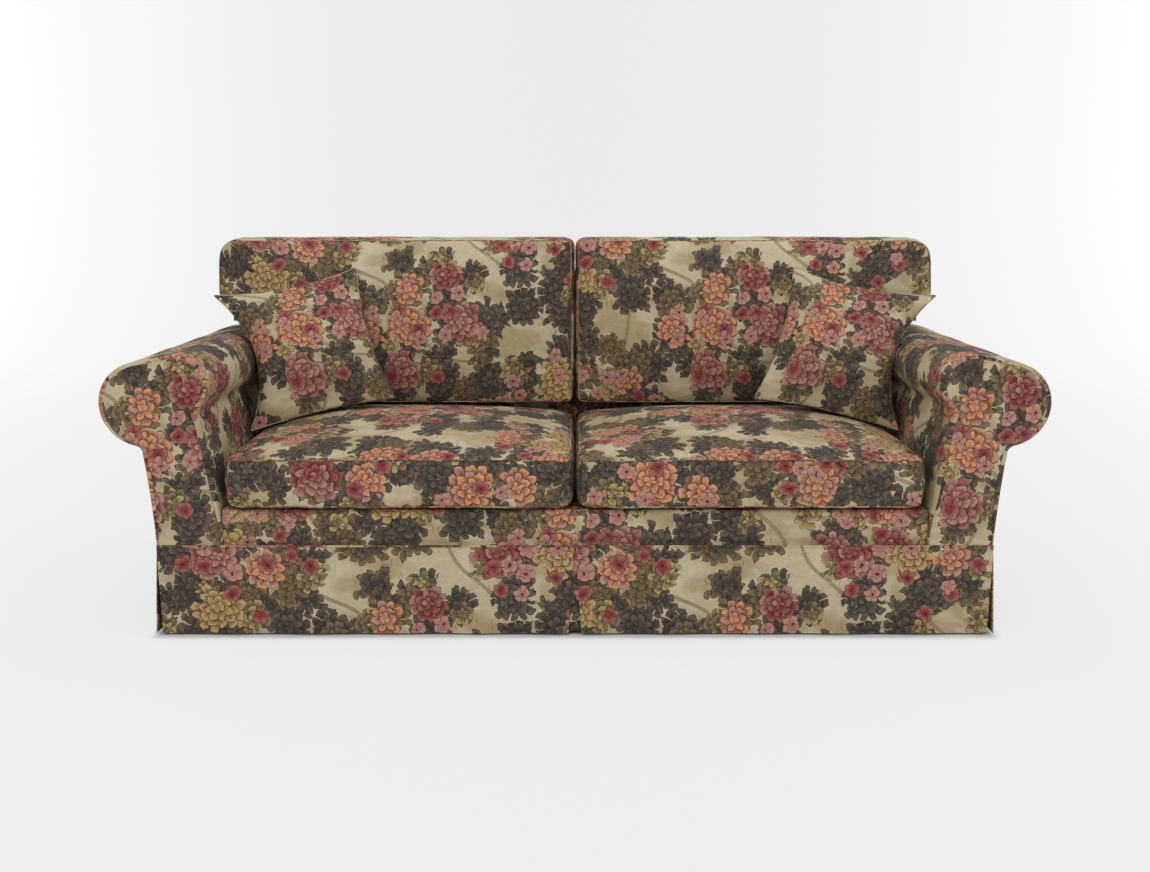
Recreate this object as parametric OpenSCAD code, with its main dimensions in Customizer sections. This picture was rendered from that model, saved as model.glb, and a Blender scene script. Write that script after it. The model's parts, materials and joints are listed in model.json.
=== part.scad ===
// Skirted scroll-arm sofa with two seat, two back and two scatter cushions.
// Millimetres. The front faces -Y, +X is to the right, and the origin is the
// middle of the footprint on the floor.

/* [Overall] */
// Width over the arm rolls
width = 2280; // [1900:10:2600]
// Depth from the seat cushions' fronts to the rear seam piping
depth = 950; // [900:10:1050]
// Height of the back cushions' top edge
height = 952; // [910:1:1000]
// Height of the upholstered back behind the cushions
back_h = 850; // [810:1:880]

/* [Arms] */
// Height of the arm's top
arm_h = 694; // [660:1:720]
// Width of the arm's stem at the skirt seam
stem_w = 163; // [150:1:200]
// How far the roll stands out past the stem
roll_overhang = 120; // [100:1:140]
// Radius of the roll's outer curl
curl_r = 102; // [90:1:115]
// Radius of the roll's inner shoulder
shoulder_r = 72; // [60:1:85]
// How far the roll's inner edge lies outward of the stem's foot
shoulder_set = 16; // [8:1:30]
// How far the outer curl's top lies below the shoulder's
curl_drop = 18; // [0:1:25]
// How far the inner face leans outward at the neck
neck_in = 42; // [20:1:50]
// Height of the inner neck
neck_in_z = 532; // [500:1:550]
// How far the outer face leans outward at the neck
neck_out = 20; // [5:1:30]
// Height of the outer neck
neck_out_z = 451; // [430:1:470]
// Radius of the hollow where the roll meets the stem
neck_fillet = 20; // [8:1:30]
// How far the arm fronts lie behind the seat cushions' fronts
arm_setback = 10; // [8:1:40]

/* [Frame] */
// Thickness of the rails, posts and top board
rail_t = 25; // [18:1:32]
// Height of the seat rails
rail_h = 165; // [140:1:170]
// Thickness of the arm boards
board_t = 18; // [12:1:24]
// Lean of the back in degrees
recline = 10; // [6:0.5:12]
// Height of the lumbar rail's lower edge
lumbar_z = 470; // [420:1:500]
// Height of the lumbar rail
lumbar_h = 60; // [40:1:90]
// Width of a back strap
strap_w = 60; // [40:1:80]
// Number of back straps on each side of the middle post
straps = 5; // [3:1:6]
// Side length of a corner block
block_w = 110; // [90:1:140]
// Height of a corner block
block_h = 60; // [55:1:80]

/* [Feet] */
// Height of the feet with their glides
foot_h = 120; // [100:1:140]
// Radius of a foot at its top
foot_top_r = 30; // [24:1:36]
// Radius of a foot at its glide
foot_low_r = 22; // [20:1:26]
// Distance of a foot's axis from the rails beside it
foot_in = 45; // [40:1:50]
// Radius of a glide
glide_r = 19; // [12:1:20]
// Thickness of a glide
glide_h = 5; // [3:1:8]
// Radius of a glide's pin
glide_pin_r = 3; // [2:0.5:4]
// Length of a glide's pin
glide_pin_l = 15; // [10:1:25]

/* [Fasteners] */
// Radius of the bolts
bolt_r = 4; // [3:0.5:5]
// Length of a bolt in the frame
bolt_l = 70; // [55:1:90]
// Radius of a bolt's head
head_r = 7; // [6:0.5:8]
// Thickness of a bolt's head
head_h = 5; // [3:0.5:6]
// Length of a foot's hanger bolt
hanger_l = 90; // [70:1:100]
// Clearance of a bolt or pin in its hole
bolt_gap = 0.05; // [0.02:0.01:0.1]

/* [Springs] */
// Number of zigzag springs on each side of the middle rail
springs = 4; // [3:1:5]
// Thickness of the spring wire
wire_t = 4; // [3:0.5:5]
// Width of a zigzag spring
spring_w = 62; // [50:1:80]
// Number of bends in a spring
bends = 25; // [19:2:27]
// Width of a spring clip
clip_w = 30; // [20:1:40]
// Wall of a spring clip
clip_t = 1.5; // [1:0.5:2]

/* [Upholstery] */
// Thickness of the loose cover's fabric with its lining
cover_t = 3; // [2:0.5:4]
// Thickness of the padding on the arms
arm_pad_t = 25; // [15:1:30]
// Thickness of the padding on the back
back_pad_t = 20; // [15:1:30]
// Thickness of the padding behind the front border
border_t = 12; // [10:1:14]
// Depth of the front edge padding
edge_pad_d = 44; // [35:1:60]
// Height of the seat deck
seat_z = 315; // [300:1:330]
// Radius of the piping round the arm fronts
scroll_pip = 3; // [2:0.5:4]
// Clearance between soft layers that lie on each other
fit = 0.3; // [0.2:0.1:0.4]

/* [Skirt] */
// Height of the seam from which the skirt hangs
seam_z = 227; // [210:1:240]
// Height of the hem above the floor
hem_z = 5; // [4:1:20]
// Radius of the seam's piping
pip_r = 4; // [3:0.5:5]
// Half the opening of the middle pleat at its hem
pleat_open = 16; // [8:1:25]
// Half the opening of the middle pleat at the seam
pleat_top = 2; // [1:0.5:4]
// How far an insert reaches behind a panel
pleat_w = 70; // [40:1:100]
// How far an insert's hem lies above a panel's
pleat_lift = 4; // [2:1:8]
// How far the side panels stand out at the hem
flare = 12; // [5:1:16]
// How far the front and rear panels draw in at the hem
draw_in = 4; // [0:1:8]

/* [Seat cushions] */
// Height of a seat cushion's border
seat_border = 123; // [110:1:140]
// Rise of a seat cushion's top above its border
seat_crown = 50; // [30:1:60]
// Depth from the seat cushions' rear to the rear seam piping
back_d = 214; // [200:1:250]
// Radius of a seat cushion's corners
seat_corner = 45; // [30:1:60]
// Swell of a seat cushion's border
seat_bulge = 4; // [0:0.5:5]
// How far a seat cushion's piping stands out
cushion_pip = 3; // [1:0.5:4]
// Gap between the two seat cushions, and between the two back cushions
middle_gap = 3; // [2:0.5:6]

/* [Back cushions] */
// Thickness of a back cushion at its edges
back_edge = 130; // [110:1:140]
// Swell of a back cushion's front
back_crown = 72; // [50:1:80]
// How far a back cushion's edges stand off behind
back_draw = 12; // [6:1:20]
// How far a back cushion reaches past the arm's stem
ear_out = 10; // [0:1:30]
// Height at which a back cushion widens over the arm
ear_z = 747; // [735:1:760]
// Height over which it widens
ear_step = 44; // [30:1:60]
// Radius of a back cushion's outer corners
ear_corner = 56; // [40:1:70]
// How far a back cushion reaches past the seat's width
back_spread = 4; // [0:0.5:5]

/* [Scatter cushions] */
// Side length of a scatter cushion over its corners
scatter_w = 412; // [380:1:450]
// Thickness of a scatter cushion
scatter_t = 150; // [120:1:170]
// How far its sides draw in between the corners
scatter_draw = 24; // [8:1:30]
// How much further its outer side draws in where the arm presses it
scatter_pinch = 48; // [30:1:60]
// How much less its lower side draws in where it stands on the seat
scatter_sag = 11; // [0:1:20]
// Radius of its piping
scatter_pip = 4; // [3:0.5:5]
// Turn of a scatter cushion towards the middle
scatter_turn = 16; // [10:1:24]
// Lean of a scatter cushion
scatter_lean = 28; // [20:1:32]
// Tilt of a scatter cushion in its own plane
scatter_tilt = 11; // [5:1:16]
// Distance of a scatter cushion's middle from the arm's inner face
scatter_in = 116; // [116:1:140]
// Height of a scatter cushion's middle above the back cushions' lower edge
scatter_up = 187.5; // [187.5:0.5:200]
// Distance of a scatter cushion's middle in front of the back
scatter_reach = 296.5; // [296.5:0.5:310]

/* [Zips and shells] */
// Thickness of a cushion cover with its lining
shell_t = 4; // [3:0.5:6]
// Length of a zip
zip_l = 600; // [400:1:660]
// Width of a zip
zip_w = 10; // [8:1:14]
// Length of a zip's pull
pull_l = 14; // [10:1:20]
// Width of a zip's pull
pull_w = 6; // [4:1:8]
// Thickness of a zip's pull
pull_t = 4; // [3:0.5:5]

/* [Hidden] */
$fn = 48;
SIDES = ["left", "right"];

// Colours
print_fabric = [0.52, 0.44, 0.31];
beech = [0.76, 0.60, 0.42];
plywood = [0.80, 0.68, 0.50];
steel = [0.60, 0.61, 0.62];
foam = [0.93, 0.90, 0.80];
fibre = [0.96, 0.96, 0.94];
felt = [0.45, 0.44, 0.43];
black_cloth = [0.12, 0.12, 0.12];
webbing = [0.24, 0.22, 0.20];
nylon = [0.20, 0.18, 0.16];
zip_brown = [0.33, 0.27, 0.20];

// Places across the sofa
stem_x = width / 2 - roll_overhang;
seat_half = stem_x - stem_w;
arm_skin = cover_t + fit + arm_pad_t + fit;
side_x = seat_half + arm_skin;
shoulder_x = seat_half + shoulder_set + shoulder_r;
shoulder_z = arm_h - shoulder_r;
curl_x = width / 2 - scroll_pip - curl_r;
curl_z = arm_h - curl_drop - curl_r;

// Places along the depth
seat_d = depth - back_d;
pip_out = 2 * pip_r - cover_t;
y_front = -depth / 2 + arm_setback;
y_back = depth / 2 - pip_out;
skin_y0 = y_front + cover_t + fit;
board_y0 = skin_y0 + cover_t + fit;
rail_y0 = board_y0 + board_t;
skin_y1 = y_back - cover_t - fit;
board_y1 = skin_y1 - cover_t - fit;
rail_y1 = board_y1 - board_t;

// Heights
rail_top = foot_h + rail_h;
cover_low = seam_z + pip_r;
skirt_top = seam_z - pip_r;
deck_low = seat_z - cover_t;
clip_h = wire_t + clip_t;
tuck_z = rail_top + clip_h + fit;

// The back's sloping front
lean = tan(recline);
lean_len = sqrt(1 + lean * lean);
back_y0 = -depth / 2 + seat_d + 1;
function back_y(z) = back_y0 + lean * (z - seat_z);
strap_t = 2;
post_skin = (cover_t + fit + back_pad_t + fit + strap_t) * lean_len;
back_half = seat_half - fit;
wing_half = stem_x;
wing_z = arm_h + 6;
board_top = back_h - cover_t - fit;
board_low = board_top - rail_t;

// Feet stand under the corner blocks and under the middle rail
foot_x = side_x - foot_in;
foot_front_y = rail_y0 + rail_t + foot_in;
foot_back_y = rail_y1 - rail_t - foot_in;
foot_places = [for (x = [-foot_x, 0, foot_x]) for (y = [foot_front_y, foot_back_y]) [x, y]];

// Bolt heights: two through each arm board, two through each outer post
arm_bolt_z = [foot_h + 0.25 * rail_h, foot_h + 0.72 * rail_h];
post_bolt_z = [foot_h + block_h + 0.25 * (rail_h - block_h), foot_h + block_h + 0.72 * (rail_h - block_h)];

// Extrudes a y-z outline from x0 to x1
module along_x(x0, x1) {
  translate([x0, 0, 0])
    rotate([90, 0, 90])
      linear_extrude(x1 - x0)
        children();
}

// Extrudes an x-z outline from y0 to y1
module along_y(y0, y1) {
  translate([0, y1, 0])
    rotate([90, 0, 0])
      linear_extrude(y1 - y0)
        children();
}

// Turns a piece drawn for the right side into the given side's
module on_side(side) {
  mirror([side == "left" ? 1 : 0, 0, 0])
    children();
}

// The arm's stem leans outward towards its neck on both faces
function rise(z, top) = max(0, (z - seam_z) / (top - seam_z));
function stem_in(z) = seat_half + neck_in * pow(rise(z, neck_in_z), 1.4);
function stem_out(z) = stem_x + neck_out * pow(rise(z, neck_out_z), 2);
edge_steps = 10;
function climb(z0, z1) = [for (i = [0 : edge_steps]) z0 + (z1 - z0) * i / edge_steps];

// The scroll outline, drawn in by inset, with its foot at low
module scroll(inset, low) {
  foot = low - inset;
  start = max(foot, seam_z);
  offset(delta = -inset)
    offset(r = -neck_fillet)
      offset(r = neck_fillet) {
        hull() {
          translate([curl_x, curl_z])
            circle(curl_r);
          translate([shoulder_x, shoulder_z])
            circle(shoulder_r);
        }
        polygon(concat(
          [[stem_in(foot), foot]],
          [for (z = climb(start, neck_in_z)) [stem_in(z), z]],
          [[shoulder_x, shoulder_z], [curl_x, curl_z]],
          [for (z = climb(neck_out_z, start)) [stem_out(z), z]],
          [[stem_out(foot), foot]]));
      }
}

// A band that follows the scroll outline from one inset to another, open below
module scroll_band(inset0, inset1, low) {
  difference() {
    scroll(inset0, low);
    scroll(inset1, low - 2 * inset1 - 1);
  }
}

// Seat frame

module front_rail() {
  color(beech)
    translate([-side_x, rail_y0, foot_h])
      cube([2 * side_x, rail_t, rail_h]);
}

module back_rail() {
  color(beech)
    difference() {
      translate([-side_x, rail_y1 - rail_t, foot_h])
        cube([2 * side_x, rail_t, rail_h]);
      post_bolt_holes();
    }
}

module side_rail(side) {
  color(beech)
    on_side(side)
      difference() {
        translate([side_x, rail_y0, foot_h])
          cube([rail_t, rail_y1 - rail_y0, rail_h]);
        arm_bolt_holes();
      }
}

module centre_rail() {
  color(beech)
    difference() {
      translate([-rail_t / 2, rail_y0 + rail_t, foot_h])
        cube([rail_t, rail_y1 - rail_y0 - 2 * rail_t, rail_h]);
      hanger_holes();
    }
}

module corner_block() {
  linear_extrude(block_h)
    polygon([[0, 0], [-block_w, 0], [-block_w, block_w * 0.25], [-block_w * 0.25, block_w], [0, block_w]]);
}

module corner_blocks() {
  color(beech)
    difference() {
      for (mx = [0, 1])
        mirror([mx, 0, 0]) {
          translate([side_x, rail_y0 + rail_t, foot_h])
            corner_block();
          translate([side_x, rail_y1 - rail_t, foot_h])
            mirror([0, 1, 0])
              corner_block();
        }
      hanger_holes();
    }
}

// Feet

module hanger_bolt(gap) {
  translate([0, 0, foot_h - hanger_l / 2 - gap])
    cylinder(r = bolt_r + gap, h = hanger_l + 2 * gap);
}

module hanger_holes() {
  for (p = foot_places)
    translate(p)
      hanger_bolt(bolt_gap);
}

module glide(gap) {
  cylinder(r = glide_r, h = glide_h);
  translate([0, 0, glide_h])
    cylinder(r = glide_pin_r + gap, h = glide_pin_l + gap);
}

module feet() {
  color(beech)
    difference() {
      for (p = foot_places)
        translate([p.x, p.y, glide_h])
          cylinder(r1 = foot_low_r, r2 = foot_top_r, h = foot_h - glide_h);
      hanger_holes();
      for (p = foot_places)
        translate(p)
          glide(bolt_gap);
    }
}

module foot_glides() {
  color(nylon)
    for (p = foot_places)
      translate(p)
        glide(0);
}

module foot_bolts() {
  color(steel)
    for (p = foot_places)
      translate(p)
        hanger_bolt(0);
}

// Frame bolts: each lies along +Y from its head's outer face

module frame_bolt(gap) {
  rotate([-90, 0, 0]) {
    cylinder(r = head_r + gap, h = head_h);
    cylinder(r = bolt_r + gap, h = bolt_l + gap);
  }
}

module arm_bolts_right(gap) {
  for (z = arm_bolt_z) {
    translate([side_x + rail_t / 2, board_y0, z])
      frame_bolt(gap);
    translate([side_x + rail_t / 2, board_y1, z])
      mirror([0, 1, 0])
        frame_bolt(gap);
  }
}

module arm_bolt_holes() {
  arm_bolts_right(bolt_gap);
}

// The outer posts' bolts come in through the back rail, heads on its rear face
module post_bolts(gap) {
  for (x = post_xs)
    if (x != 0)
      for (z = post_bolt_z)
        translate([x, rail_y1 + head_h, z])
          mirror([0, 1, 0])
            frame_bolt(gap);
}

module post_bolt_holes() {
  post_bolts(bolt_gap);
}

module frame_bolts() {
  color(steel) {
    for (side = SIDES)
      on_side(side)
        arm_bolts_right(0);
    post_bolts(0);
  }
}

// Springs: zigzag wire that turns in half circles from run to run

spring_len = rail_y1 - rail_y0 - rail_t;
turn_r = spring_len / bends / 2;
run_x = spring_w / 2 - turn_r - wire_t / 2;
clip_x = run_x - clip_w / 2 - wire_t;
spring_y0 = rail_y0 + rail_t / 2;
bay = (side_x - rail_t / 2) / springs;
spring_xs = [for (s = [-1, 1]) for (i = [0 : springs - 1]) s * (rail_t / 2 + bay * (i + 0.5))];

// One edge of the wire; way is 1 on the left of the path and -1 on the right
function zigzag_edge(way) = concat(
  [[-spring_w / 2, way * wire_t / 2]],
  [for (k = [0 : bends - 1])
     let (out = k % 2 == 0 ? 1 : -1, r = turn_r - way * out * wire_t / 2)
       for (a = [-90 : 45 : 90])
         [out * (run_x + r * cos(a)), (2 * k + 1) * turn_r + r * sin(a)]],
  [[-spring_w / 2, spring_len - way * wire_t / 2]]);

module zigzag() {
  left = zigzag_edge(1);
  right = zigzag_edge(-1);
  linear_extrude(wire_t)
    polygon(concat(left, [for (i = [len(right) - 1 : -1 : 0]) right[i]]));
}

module seat_springs() {
  color(steel)
    for (x = spring_xs)
      translate([x, spring_y0, rail_top])
        zigzag();
}

// A clip is a bent strap over the spring's end run
module clip() {
  tunnel = wire_t + 2 * bolt_gap;
  difference() {
    translate([-clip_w / 2, -clip_h, 0])
      cube([clip_w, 2 * clip_h, clip_h]);
    translate([-clip_w, -tunnel / 2, -1])
      cube([2 * clip_w, tunnel, wire_t + 1]);
  }
}

module spring_clips() {
  color(steel)
    for (x = spring_xs) {
      translate([x + clip_x, spring_y0, rail_top])
        clip();
      translate([x + clip_x, spring_y0 + spring_len, rail_top])
        clip();
    }
}

// Seat deck

pad_front = rail_y0 + edge_pad_d;
pad_back = back_y(seat_z) - fit;

module front_edge_pad() {
  color(foam)
    translate([-seat_half + fit, rail_y0, tuck_z])
      cube([2 * (seat_half - fit), edge_pad_d, deck_low - fit - tuck_z]);
}

module spring_pad() {
  color(felt)
    translate([-seat_half + fit, pad_front + fit, rail_top + wire_t + fit])
      cube([2 * (seat_half - fit), pad_back - pad_front - fit, deck_low - rail_top - wire_t - 2 * fit]);
}

// The border's fabric folds back over the front edge and meets the deck
module front_border() {
  front = rail_y0 - fit - border_t;
  color(print_fabric)
    along_x(-seat_half + fit, seat_half - fit)
      polygon([[front, cover_low], [front, seat_z], [pad_front, seat_z], [pad_front, deck_low],
               [rail_y0 - fit, deck_low], [rail_y0 - fit, cover_low]]);
}

module seat_deck() {
  color(print_fabric)
    translate([-seat_half + fit, pad_front, deck_low])
      cube([2 * (seat_half - fit), pad_back - pad_front, cover_t]);
}

module dust_cover() {
  sheet = 1;
  color(black_cloth)
    difference() {
      translate([-side_x - rail_t, rail_y0, foot_h - sheet])
        cube([2 * (side_x + rail_t), rail_y1 - rail_y0, sheet]);
      for (p = foot_places)
        translate([p.x, p.y, foot_h - 2 * sheet])
          cylinder(r = foot_top_r + fit, h = 3 * sheet);
    }
}

// Arms

module arm_front_board(side) {
  color(plywood)
    on_side(side)
      difference() {
        along_y(board_y0, rail_y0)
          scroll(arm_skin, foot_h);
        arm_bolt_holes();
      }
}

module arm_rear_board(side) {
  color(plywood)
    on_side(side)
      difference() {
        along_y(rail_y1, board_y1)
          scroll(arm_skin, foot_h);
        arm_bolt_holes();
      }
}

module arm_top_rail(side) {
  top = curl_z + curl_r - arm_skin - 2;
  half = (curl_x - shoulder_x) / 2 + 14;
  color(beech)
    on_side(side)
      translate([(curl_x + shoulder_x) / 2 - half, rail_y0, top - rail_t])
        cube([2 * half, rail_y1 - rail_y0, rail_t]);
}

// Below the deck the arm's inner wall stops short of the seat rails
module rail_room() {
  translate([seat_half - neck_in, rail_y0 - fit, 0])
    cube([arm_skin + rail_t + neck_in + fit, rail_y1 - rail_y0 + 2 * fit, tuck_z]);
}

module arm_pad(side) {
  color(foam)
    on_side(side)
      difference() {
        union() {
          along_y(skin_y0, skin_y1)
            scroll_band(cover_t + fit, arm_skin - fit, cover_low);
          along_y(skin_y0, board_y0 - fit)
            scroll(cover_t + fit, cover_low);
          along_y(board_y1 + fit, skin_y1)
            scroll(cover_t + fit, cover_low);
        }
        rail_room();
      }
}

module arm_cover(side) {
  color(print_fabric)
    on_side(side)
      difference() {
        union() {
          along_y(y_front + cover_t, y_back - cover_t)
            scroll_band(0, cover_t, cover_low);
          along_y(y_back - cover_t, y_back)
            scroll(0, cover_low);
        }
        rail_room();
      }
}

module arm_front_panel(side) {
  color(print_fabric)
    on_side(side) {
      along_y(y_front, y_front + cover_t)
        scroll(0, cover_low);
      along_y(y_front - scroll_pip, y_front + cover_t)
        difference() {
          scroll(-scroll_pip, cover_low + scroll_pip);
          scroll(scroll_pip, cover_low - 3 * scroll_pip);
          translate([0, cover_low - width])
            square([width, width]);
        }
    }
}

// Back

post_x = back_half - cover_t - fit - rail_t / 2;
post_xs = [-post_x, 0, post_x];

// A slab parallel to the back's sloping front, between two depths behind it
function slab(d0, d1, z0, z1) = [
  [back_y(z0) + d0 * lean_len, z0],
  [back_y(z1) + d0 * lean_len, z1],
  [back_y(z1) + d1 * lean_len, z1],
  [back_y(z0) + d1 * lean_len, z0]];

post_depth = post_skin / lean_len;

module lumbar_outline() {
  polygon(slab(post_depth, post_depth + rail_t, lumbar_z, lumbar_z + lumbar_h));
}

module post_outline(low) {
  difference() {
    polygon([[back_y(low) + post_skin, low],
             [back_y(board_low) + post_skin, board_low],
             [rail_y1, board_low],
             [rail_y1, rail_top],
             [rail_y1 - rail_t, rail_top],
             [rail_y1 - rail_t, low]]);
    lumbar_outline();
  }
}

module back_posts() {
  color(beech)
    difference() {
      for (x = post_xs)
        along_x(x - rail_t / 2, x + rail_t / 2)
          post_outline(x == 0 ? rail_top : foot_h + block_h);
      post_bolt_holes();
    }
}

module back_top_board() {
  half = wing_half - cover_t - fit;
  color(beech)
    along_x(-half, half)
      polygon([[back_y(board_low) + post_skin, board_low],
               [back_y(board_top) + post_skin, board_top],
               [rail_y1, board_top],
               [rail_y1, board_low]]);
}

module back_lumbar_rail() {
  half = back_half - cover_t - fit;
  color(beech)
    along_x(-half, half)
      lumbar_outline();
}

// Short uprights under the top board's ends shape the back above the arms
module wing_blocks() {
  edge = wing_half - cover_t - fit;
  low = wing_z + cover_t + fit;
  color(beech)
    for (mx = [0, 1])
      mirror([mx, 0, 0])
        along_x(edge - rail_t, edge)
          polygon([[back_y(low) + post_skin, low],
                   [back_y(board_low) + post_skin, board_low],
                   [rail_y1, board_low],
                   [rail_y1, low]]);
}

module back_webbing() {
  room = post_x - rail_t;
  pitch = room / straps;
  color(webbing)
    for (s = [-1, 1])
      for (i = [0 : straps - 1])
        let (x = s * (rail_t / 2 + pitch * (i + 0.5)))
          along_x(x - strap_w / 2, x + strap_w / 2)
            polygon(slab(post_depth - strap_t, post_depth - bolt_gap, lumbar_z, board_top));
}

module back_pad() {
  front = cover_t + fit;
  color(foam) {
    along_x(-back_half + front, back_half - front)
      polygon(slab(front, front + back_pad_t, seat_z, board_top));
    along_x(-wing_half + front, wing_half - front)
      polygon(slab(front, front + back_pad_t, wing_z + front, board_top));
  }
}

// The padded back's outer shape less an inset; it is open behind and below
module back_body(inset) {
  reach = y_back - cover_t + (inset > 0 ? 1 : 0);
  function outline(low, inset) = [
    [back_y(low) + inset * lean_len, low],
    [back_y(back_h - inset) + inset * lean_len, back_h - inset],
    [reach, back_h - inset],
    [reach, low]];
  along_x(-back_half + inset, back_half - inset)
    polygon(outline(seat_z - (inset > 0 ? 1 : 0), inset));
  along_x(-wing_half + inset, wing_half - inset)
    polygon(outline(wing_z + inset, inset));
}

module inside_back_cover() {
  color(print_fabric)
    difference() {
      back_body(0);
      back_body(cover_t);
    }
}

module outside_back_cover() {
  color(print_fabric)
    along_y(y_back - cover_t, y_back)
      difference() {
        translate([-wing_half, cover_low])
          square([2 * wing_half, back_h - cover_low]);
        for (mx = [0, 1])
          mirror([mx, 0])
            scroll(-fit, cover_low - width / 4);
        for (mx = [0, 1])
          mirror([mx, 0])
            translate([stem_x - stem_w / 2, cover_low - 1])
              square([width, wing_z - cover_low + 1]);
      }
}

// Skirt

module skirt_front(side) {
  color(print_fabric)
    on_side(side)
      along_y(y_front, y_front + cover_t)
        polygon([[pleat_top, skirt_top], [pleat_open, hem_z], [stem_x - draw_in, hem_z], [stem_x, skirt_top]]);
}

module skirt_side(side) {
  color(print_fabric)
    on_side(side)
      along_y(skin_y0, skin_y1)
        polygon([[stem_x - cover_t, skirt_top], [stem_x, skirt_top],
                 [stem_x + flare, hem_z], [stem_x + flare - cover_t, hem_z]]);
}

module skirt_back() {
  color(print_fabric)
    along_y(y_back - cover_t, y_back)
      polygon([[-stem_x, skirt_top], [stem_x, skirt_top],
               [stem_x - draw_in, hem_z], [-stem_x + draw_in, hem_z]]);
}

module corner_insert() {
  edge = stem_x - cover_t - fit - draw_in;
  translate([0, 0, hem_z + pleat_lift])
    linear_extrude(skirt_top - hem_z - pleat_lift)
      polygon([[edge - pleat_w, 0], [edge, 0], [edge, pleat_w], [edge - cover_t, pleat_w],
               [edge - cover_t, cover_t], [edge - pleat_w, cover_t]]);
}

module pleat_inserts() {
  color(print_fabric) {
    translate([-pleat_w, skin_y0, hem_z + pleat_lift])
      cube([2 * pleat_w, cover_t, skirt_top - hem_z - pleat_lift]);
    for (mx = [0, 1])
      mirror([mx, 0, 0]) {
        translate([0, skin_y0, 0])
          corner_insert();
        translate([0, skin_y1, 0])
          mirror([0, 1, 0])
            corner_insert();
      }
  }
}

// The seam's piping runs round the sofa with rounded corners
module skirt_piping() {
  bend_r = 3 * pip_r;
  px = stem_x + pip_out - pip_r;
  py0 = y_front - pip_out + pip_r;
  py1 = y_back + pip_out - pip_r;
  color(print_fabric)
    translate([0, 0, seam_z]) {
      for (y = [py0, py1])
        translate([-px + bend_r, y, 0])
          rotate([0, 90, 0])
            cylinder(r = pip_r, h = 2 * (px - bend_r));
      for (x = [-px, px])
        translate([x, py0 + bend_r, 0])
          rotate([-90, 0, 0])
            cylinder(r = pip_r, h = py1 - py0 - 2 * bend_r);
      for (c = [[px, py1, 0], [-px, py1, 90], [-px, py0, 180], [px, py0, 270]])
        translate([c.x - sign(c.x) * bend_r, c.y - (c.y > 0 ? 1 : -1) * bend_r, 0])
          rotate([0, 0, c.z])
            rotate_extrude(angle = 90)
              translate([bend_r, 0])
                circle(pip_r);
    }
}

// Cushions: a closed skin over a grid of u and v from -1 to 1.
// at(u, v, s, out) gives its points: s is 1 on the front or top sheet and -1 on
// the other, and out pushes the border outward. Each row is [s, out].

module skin(us, vs, rows, at) {
  nu = len(us);
  nv = len(vs);
  loop = concat(
    [for (i = [0 : nu - 2]) [i, 0]],
    [for (j = [0 : nv - 2]) [nu - 1, j]],
    [for (i = [nu - 1 : -1 : 1]) [i, nv - 1]],
    [for (j = [nv - 1 : -1 : 1]) [0, j]]);
  m = len(loop);
  sheet = nu * nv;
  points = concat(
    [for (v = vs) for (u = us) at(u, v, 1, 0)],
    [for (v = vs) for (u = us) at(u, v, -1, 0)],
    [for (row = rows) for (p = loop) at(us[p.x], vs[p.y], row[0], row[1])]);
  first = [for (p = loop) p.y * nu + p.x];
  last = [for (p = loop) sheet + p.y * nu + p.x];
  rings = concat([first], [for (k = [0 : len(rows) - 1]) [for (n = [0 : m - 1]) 2 * sheet + k * m + n]], [last]);
  faces = concat(
    [for (j = [0 : nv - 2]) for (i = [0 : nu - 2])
       let (a = j * nu + i, b = a + 1, c = b + nu, d = a + nu)
         for (t = [[a, c, b], [a, d, c]]) t],
    [for (j = [0 : nv - 2]) for (i = [0 : nu - 2])
       let (a = sheet + j * nu + i, b = a + 1, c = b + nu, d = a + nu)
         for (t = [[a, b, c], [a, c, d]]) t],
    [for (k = [0 : len(rings) - 2]) for (n = [0 : m - 1])
       let (a = rings[k][n], b = rings[k][(n + 1) % m], c = rings[k + 1][(n + 1) % m], d = rings[k + 1][n])
         for (t = [[a, b, c], [a, c, d]]) t]);
  polyhedron(points, faces);
}

// Grid lines from -1 to 1: n even cells, and corner cells of the given share at each end
function grid(share0, share1, n, fine) = concat(
  [-1],
  fine ? [-1 + share0 / 2] : [],
  [for (i = [0 : n]) -1 + share0 + i * (2 - share0 - share1) / n],
  fine ? [1 - share1 / 2] : [],
  [1]);

// Rounds a rectangle's corners: points near a corner go onto a quarter disc
function rounded(x, y, a, b, r) =
  let (sx = (abs(x) - a + r) / r, sy = (abs(y) - b + r) / r)
    sx <= 0 || sy <= 0
      ? [x, y]
      : [sign(x) * (a - r + r * sx * sqrt(1 - sy * sy / 2)),
         sign(y) * (b - r + r * sy * sqrt(1 - sx * sx / 2))];

function swell(u, v, p) = (1 - pow(abs(u), p)) * (1 - pow(abs(v), p));
function rim(u, v) = pow(max(abs(u), abs(v)), 6);

// Seat cushions, drawn for the right side

seat_w = seat_half - middle_gap / 2;
seat_cx = middle_gap / 2 + seat_w / 2;
seat_cy = -depth / 2 + seat_d / 2;
seat_low = seat_z + fit;
seat_high = seat_low + seat_border;
border_lift = 6;

// The swell of the front face reaches the sofa's full depth, so the plan is drawn in by it
function seat_at(g) = function(u, v, s, out)
  let (
    push = v > 0.99 && s == 0 ? 0 : out,
    a = seat_w / 2 - seat_bulge - g + push,
    b = seat_d / 2 - seat_bulge - g + push,
    p = rounded(u * a, v * b, a, b, max(seat_corner - g + push, 1)),
    low = seat_low + g + border_lift * rim(u, v),
    high = seat_high - g + (seat_crown - border_lift) * swell(u, v, 2.5),
    z = s == 1 ? high : s == -1 ? low : (low + high) / 2 + s * (high - low) / 2)
      [seat_cx + p.x, seat_cy + p.y, z];

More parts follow.
